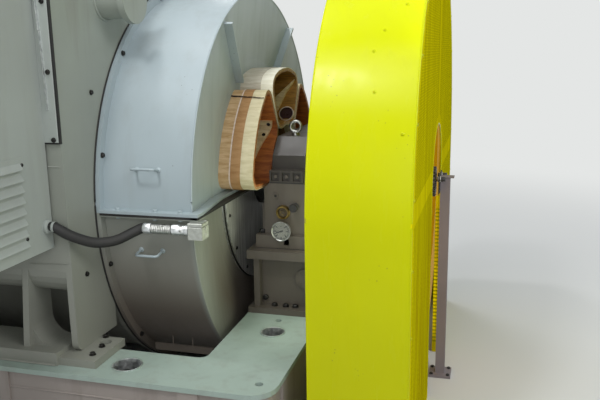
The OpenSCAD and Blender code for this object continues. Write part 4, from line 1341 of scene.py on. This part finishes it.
    def add_crack(self, shape: Shape, side: End) -> None:
        """The open butt joint of the veneer's two ends, across the outside.

        Args:
            shape: the mesh that gets it.
            side: which end of the machine.
        """
        steps = 14
        points = []
        for k in range(steps + 1):
            share = k / steps
            turn = self.crack_turn - self.crack_slant * share + 0.12 * math.sin(5.1 * k)
            at_root, at_mouth = self.crack_half
            half = (at_root + (at_mouth - at_root) * share) * (1 + 0.25 * math.sin(3.3 * k))
            points += [ring_point(side.value * (self.root + self.length * share), self.outer_r + 0.0020,
                                  turn + math.degrees(way * half / self.outer_r)) for way in (-1, 1)]
        faces = [[2 * k, 2 * k + 1, 2 * k + 3, 2 * k + 2][::side.value] for k in range(steps)]
        shape.put(points, faces, GAP)

    def build(self) -> None:
        """Makes the loop at both ends of the machine."""
        shape, screws = Shape(self.name), Shape(self.name + "_screws")
        first, second, mouth = (self.root + self.length * s for s in (0.31, 0.63, 1.0))
        plies = [0.0020, 0.0050, 0.0090, 0.0130, 0.0170, self.wall]
        tones = [self.skins[2], self.inside, TAN_VENEER, self.inside, self.inside]
        for side in End:
            self.band(shape, side, 0.0015, (self.root, first), self.skins[0])
            self.band(shape, side, 0.0005, (first, second), self.skins[1])
            self.band(shape, side, 0.0020, (second, mouth), self.skins[2])
            self.rim(shape, side, first, [0.0005, 0.0015], [self.skins[1]])
            if self.batten:
                self.band(shape, side, 0.0001, (first, first + 0.0065), EDGE_VENEER)
            self.band(shape, side, self.wall, (self.root, mouth), self.inside, False)
            self.rim(shape, side, mouth, plies, tones)
            if self.batten:
                self.add_batten(shape, screws, side)
                self.add_crack(shape, side)
            if self.strut:
                self.add_strut(shape, side)
        shape.make("plywood", replaces=[self.name.replace("_bent", "")], sharp=40)
        if self.batten:
            screws.make("dark_steel")


@dataclass
class BearingPedestals:
    """The pedestals, the split bearing housings, and the instruments on their near side."""

    middle: float = 1.565
    front: float = -0.455
    # Distance along the shaft and height
    gauge: Flat = (1.552, 0.918)
    sight: Flat = (1.549, 1.003)
    plug: Flat = (1.510, 1.084)
    fitting: Flat = (1.613, 1.035)
    cover: Flat = (1.665, 0.670)
    scale_start: float = -225.0
    numbers_r: float = 0.0265
    foot_t: float = 0.068
    base_t: float = 0.030
    # Half length and half width of each joint
    cap_joint: Flat = (0.0865, 0.4555)
    foot_joint: Flat = (0.1555, 0.4855)

    def on_front(self, side: End, place: Flat) -> Matrix:
        """Stands a part on the housing's near side, its axis towards the viewer.

        Args:
            side: which end of the machine.
            place: distance along the shaft and height.

        Returns:
            The matrix that puts it there.
        """
        return stand((side.value * place[0], self.front, place[1]), (0, -1, 0))

    def gauges(self) -> None:
        """Dial thermometers: stem, case, bezel, white dial with ticks and pointer, and glass."""
        case, dial, glass = Shape("gauge_cases"), Shape("gauge_dials"), Shape("gauge_glasses")
        for side in End:
            at, x = self.on_front(side, self.gauge), side.value * self.gauge[0]
            case.lathe([(0.021, 0), (0.021, 0.012), (0.015, 0.014), (0.015, 0.040)], BRASS, at, 6)
            case.lathe([(0.0, 0.036), (0.040, 0.036), (0.047, 0.042), (0.048, 0.060), (0.0495, 0.062),
                        (0.0495, 0.0655), (0.047, 0.0658), (0.0445, 0.0640), (0.0445, 0.0600)], ZINC, at, 64)
            case.block((x + 0.002, self.front - 0.030, self.gauge[1] - 0.078),
                       (x + 0.034, self.front - 0.002, self.gauge[1] - 0.046), PLASTIC, 0.003)
            dial.lathe([(0, 0.0605), (0.0446, 0.0605)], DIAL, at, 64)
            # Angle, height, and radius and half width at both ends of each print
            prints = [(self.scale_start + 9 * k, 0.0608, *((0.035, 0.0014) if k % 5 else (0.028, 0.0024)), 0.042,
                       0.0014 if k % 5 else 0.0024) for k in range(31)]
            for turn, high, r0, half0, r1, half1 in prints + [(-160, 0.0613, -0.012, 0.0045, 0.036, 0.0015)]:
                dial.put([(r0, -half0, high), (r1, -half1, high), (r1, half1, high), (r0, half0, high)],
                         [[0, 1, 2, 3]], INK, at @ Matrix.Rotation(math.radians(turn), 4, "Z"))
            dial.lathe([(0.005, 0.0607), (0.005, 0.0622), (0, 0.0624)], BLACKENED, at, 24)
            glass.lathe([(0, 0.0636), (0.0444, 0.0634), (0.0444, 0.0642), (0, 0.0646)], GLASS, at, 48)
        case.make("gauge_metal", replaces=["bearing_gauges"])
        dial.make("gauge_metal")
        glass.make("gauge_metal")
        self.numbers()

    def numbers(self) -> None:
        """Numbers of the degree scale on each dial."""
        for side in End:
            for k in range(7):
                turn = math.radians(self.scale_start + 45 * k)
                data = bpy.data.curves.new(f"dial_number_{k}", "FONT")
                data.body, data.size, data.align_x, data.align_y = str(20 * k), 0.0085, "CENTER", "CENTER"
                data.materials.append(INK.material())
                at = (side.value * self.gauge[0] + self.numbers_r * math.cos(turn), self.front - 0.0609,
                      self.gauge[1] - self.numbers_r * math.sin(turn))
                number = link(f"dial_number_{side.name.lower()}_{k}", data,
                              Matrix.Translation(at) @ Matrix.Rotation(math.radians(90), 4, "X"))
                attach(number, Body.MACHINE.value)

    def sight_glasses(self) -> None:
        """Brass oil sight glasses: hexagon base, ring, and oil behind the pane."""
        ring, oil = Shape("sight_glass_rings"), Shape("sight_glass_oil")
        for side in End:
            at = self.on_front(side, self.sight)
            ring.lathe([(0.036, 0), (0.036, 0.010), (0.0345, 0.012), (0.0345, 0.020), (0.033, 0.0235),
                        (0.0265, 0.0238), (0.0245, 0.021), (0.0240, 0.008)], BRASS, at, 56)
            ring.lathe([(0.0362, 0.001), (0.0362, 0.009)], BRASS, at, 6)
            oil.lathe([(0.0242, 0.0085), (0.0236, 0.0110), (0, 0.0122)], OIL, at, 48)
            oil.lathe([(0.0135, 0.0112), (0.0120, 0.0132), (0.0105, 0.0118)], BRASS, at, 36)
        ring.make("brass", replaces=["oil_sight_glasses"])
        oil.make("brass")

    def fittings(self) -> None:
        """Ringed plugs and capped fittings on the near side."""
        shape = Shape("housing_plugs")
        for side in End:
            at, cap = self.on_front(side, self.plug), self.on_front(side, self.fitting)
            shape.lathe([(0.0160, 0), (0.0160, 0.004), (0.0145, 0.0062), (0.0110, 0.0062), (0.0100, 0.0052),
                         (0.0070, 0.0052)], CAST_ENAMEL, at, 40)
            shape.lathe([(0.0070, 0.0054), (0.0060, 0.0020), (0, 0.0018)], RUBBER, at, 6)
            shape.lathe([(0.0175, 0), (0.0175, 0.010), (0.0125, 0.012), (0.0125, 0.028), (0.0195, 0.030),
                         (0.0210, 0.034), (0.0210, 0.050), (0.0190, 0.0555), (0.0, 0.0560)], PLASTIC, cap, 36)
            for k in range(18):
                shape.put([(0.0208, y, z) for y, z in ((-0.0008, 0.034), (0.0008, 0.034), (0.0008, 0.050),
                                                       (-0.0008, 0.050))],
                          [[0, 1, 2, 3]], PLASTIC, cap @ Matrix.Rotation(math.tau * k / 18, 4, "Z"))
        shape.make("dark_steel", replaces=["bearing_fittings"])

    def bolts(self) -> None:
        """Housing bolts on the foot flange, holding-down bolts, cover bolts and studs in the cap's pockets."""
        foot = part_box("bearing_housings")[0].z + self.foot_t
        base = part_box("pedestal_bases")[0].z + self.base_t
        shape = Shape("pedestal_bolts")
        for side, sy in QUARTERS:
            for x in (1.430, 1.700):
                shape.hex_bolt((side * x, sy * 0.43, foot), (0, 0, 1), 0.020)
            for x in (1.505, 1.565, 1.615):
                shape.hex_bolt((side * x, sy * 0.497, base), (0, 0, 1), 0.016, turn=40 * x)
            shape.lathe([(0.014, 0), (0.014, 0.012), (0.010, 0.016), (0, 0.016)], BLACKENED,
                        stand((side * 1.452, sy * 0.475, base + 0.035), (0, sy, 0)), 24)
            for across, up in ((1, 1), (-1, 1), (-1, -1), (1, -1)):
                x, z = self.cover[0] + across * 0.036 * math.sqrt(0.5), self.cover[1] + up * 0.036 * math.sqrt(0.5)
                shape.hex_bolt((side * x, sy * 0.489, z), (0, sy, 0), 0.008, CAST_ENAMEL, False)
            for k in (-1, 0, 1):
                shape.hex_bolt((side * self.middle + 0.056 * k, sy * 0.443, AXIS_HEIGHT + 0.081), (0, sy, 0), 0.011,
                               CAST_ENAMEL, False)
        shape.make("dark_steel")

    def joints(self) -> None:
        """Dark sealing lines where cap, housing and pedestal meet."""
        shape = Shape("bearing_joint_lines")
        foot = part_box("bearing_housings")[0].z
        for side, sy in QUARTERS:
            x = side * self.middle
            for (length, width), z in ((self.cap_joint, AXIS_HEIGHT + 0.050), (self.foot_joint, foot)):
                shape.block((x - length, sy * width, z - 0.0025), (x + length, sy * (width - 0.004), z + 0.0025),
                            RUBBER, 0.0005)
        shape.make("black_rubber")

    def build(self) -> None:
        """Dresses pedestals and bearings."""
        paint(CAST_ENAMEL, "pedestal_bases", "bearing_housings")
        paint(CAP_SHADED_ENAMEL, "bearing_caps")
        paint(ZINC, "cap_eyes")
        self.gauges()
        self.sight_glasses()
        self.fittings()
        self.bolts()
        self.joints()


@dataclass
class FlywheelGuard:
    """The yellow sheet guard with its perforated outboard face, seam strips and screws."""

    radius: float = PERFORATED.outer_r
    hole_r: float = PERFORATED.hole_r
    bead: float = 0.003
    screw_inset: float = 0.022
    # Place along the shaft and angle of each screw on the rim
    rim_screws: Sequence[Flat] = ((2.195, 46.4), (2.119, 39.8), (2.086, 35.0), (2.104, 26.6), (2.220, 18.8))

    def screws(self) -> None:
        """Small screws on the rim, and along both faces' edges."""
        shape = Shape("guard_screws")
        low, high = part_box("guard_rim_upper")
        for x, turn in self.rim_screws:
            for a in (turn, 180 - turn):
                at = ring_point(x, self.radius, a)
                shape.screw(at, Vector((0, at.y, at.z - AXIS_HEIGHT)), 0.007, GUARD_ENAMEL)
        edge = self.radius - self.screw_inset
        for x, out in ((low.x - 0.006, -1), (high.x + 0.006, 1)):
            upright = [(x, y, 0.16 + 0.27 * k) for y in (edge, -edge) for k in range(4)]
            for at in arc(x, edge, 7, 172.6, 12) + upright:
                shape.screw(at, (out, 0, 0), 0.007, GUARD_ENAMEL)
        shape.make("guard_paint")

    def edges(self) -> None:
        """Rounded edges where the rim meets the faces, and round the sight hole."""
        shape = Shape("guard_rounded_edges")
        low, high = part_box("guard_rim_upper")
        edge = self.radius - self.bead
        for x in (low.x - self.bead, high.x + self.bead):
            shape.tube([(x, -edge, 0.012), (x, -edge, 0.4), *arc(x, edge, 0, 180, 180), (x, edge, 0.4),
                        (x, edge, 0.012)], 0.0045, GUARD_ENAMEL, 8)
        shape.tube(arc(high.x + self.bead, self.hole_r, -22, 202, 120), 0.0038, GUARD_ENAMEL, 8)
        shape.make("guard_paint")

    def build(self) -> None:
        """Dresses the guard."""
        paint(GUARD_ENAMEL, "guard_rim_upper", "guard_rim_lower")
        paint(GUARD_BACK, "guard_inboard_upper", "guard_inboard_lower")
        paint(PERFORATED, "guard_outboard_upper", "guard_outboard_lower")
        self.screws()
        self.edges()


@dataclass
class SpeedSensor:
    """The post outside the guard with its bracket and two threaded sensors."""

    across: float = 0.064
    height: float = 1.125
    bracket_t: float = 0.006
    nut_t: float = 0.0055
    foot_bolts: float = 0.045
    foot_t: float = 0.015

    def sensors(self, plate: float) -> None:
        """The bracket with threaded sensors, their nuts and their black ends.

        Args:
            plate: where the bracket's plate starts along the shaft.
        """
        low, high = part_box("sensor_head")
        shape = Shape("sensors_on_bracket")
        shape.block((plate, low.y, low.z), high, BLACKENED)
        reach = plate - low.x
        thread = [(0.0120 - 0.0007 * (k % 2), 0.004 + k * 0.00125) for k in range(9)]
        for sy in (1, -1):
            at = stand((low.x, sy * self.across, self.height), (1, 0, 0))
            shape.lathe([(0, 0), (0.0105, 0), (0.0112, 0.001), (0.0112, 0.004), *thread, (0.0120, reach + 0.001)],
                        BRASS, at, 28)
            for off in (reach - self.nut_t, reach + self.bracket_t):
                shape.prism(circle(0.0165, 6), self.nut_t, ZINC, at @ Matrix.Translation((0, 0, off)), 0.001)
            shape.lathe([(0.0120, reach + 0.0115), (0.0120, reach + 0.030), (0.0100, reach + 0.034),
                         (0, reach + 0.034)], PLASTIC, at, 28)
        shape.make("black_plastic", replaces=["sensor_head"])

    def bolts(self, plate: float) -> None:
        """Bolts of the post's foot and of the bracket.

        Args:
            plate: where the bracket's plate starts along the shaft.
        """
        shape = Shape("post_bolts")
        middle = sum(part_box("sensor_post"), Vector()) / 2
        for dx in (-self.foot_bolts, self.foot_bolts):
            for dy in (-self.foot_bolts, self.foot_bolts):
                shape.hex_bolt((middle.x + dx, middle.y + dy, self.foot_t), (0, 0, 1), 0.010)
        for dz in (-0.020, 0.020):
            shape.hex_bolt((plate, 0.0, AXIS_HEIGHT + dz), (-1, 0, 0), 0.006, washer=False)
        shape.make("dark_steel")

    def build(self) -> None:
        """Dresses the post and replaces the sensors by threaded ones with nuts."""
        paint(POST_ENAMEL, "sensor_post")
        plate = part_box("sensor_head")[1].x - self.bracket_t
        self.sensors(plate)
        self.bolts(plate)


@dataclass
class Rotor:
    """Shaft, pole wheel, flywheel and toothed disc, with the bolts of flywheel and coupling."""

    hub: float = 2.193
    bolt_r: float = 0.215

    def build(self) -> None:
        """Dresses the turning parts."""
        paint(TURNED, "shaft")
        paint(DARK_DISC_STEEL, "toothed_wheel")
        paint(VARNISH, "rotor_core")
        paint(WHEEL_ENAMEL, "flywheel")
        shape = Shape("flywheel_bolts")
        for a in range(0, 360, 45):
            shape.hex_bolt(ring_point(self.hub, self.bolt_r, a), (1, 0, 0), 0.018, turn=a)
        shape.make("dark_steel", Body.ROTOR)
        bolts = Shape("coupling_bolts")
        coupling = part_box("shaft")[0].x + 0.008
        for a in range(0, 360, 30):
            bolts.lathe([(0.0168, 0.002), (0.0168, 0.006), (0.014, 0.008), (0.0, 0.008)], BLACKENED,
                        stand(ring_point(coupling, self.bolt_r, a), (-1, 0, 0)), 20)
        bolts.make("dark_steel", Body.ROTOR)


def main() -> None:
    """Builds the studio and each sub-assembly in order."""
    logging.basicConfig(level=logging.INFO, format="%(name)s: %(message)s")
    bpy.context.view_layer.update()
    Studio().build()
    CableRun().build()
    for part in (BaseFrame(), GeneratorFrame(), TerminalBox(), EndBells(),
                 PlywoodCollar("plywood_collar_near_bent", 148.0, 59.0, 0.070, batten=True),
                 PlywoodCollar("plywood_collar_top_bent", 90.0, 55.0, 0.085, strut=True, inside=OLIVE_VENEER,
                               skins=(GREY_VENEER, GREY_VENEER, HIGHLIT_VENEER)),
                 PlywoodCollar("plywood_collar_far_bent", 32.0, 59.0, 0.070),
                 BearingPedestals(), FlywheelGuard(), SpeedSensor(), Rotor()):
        LOG.info("building %s", type(part).__name__)
        part.build()


if __name__ == "__main__":
    main()
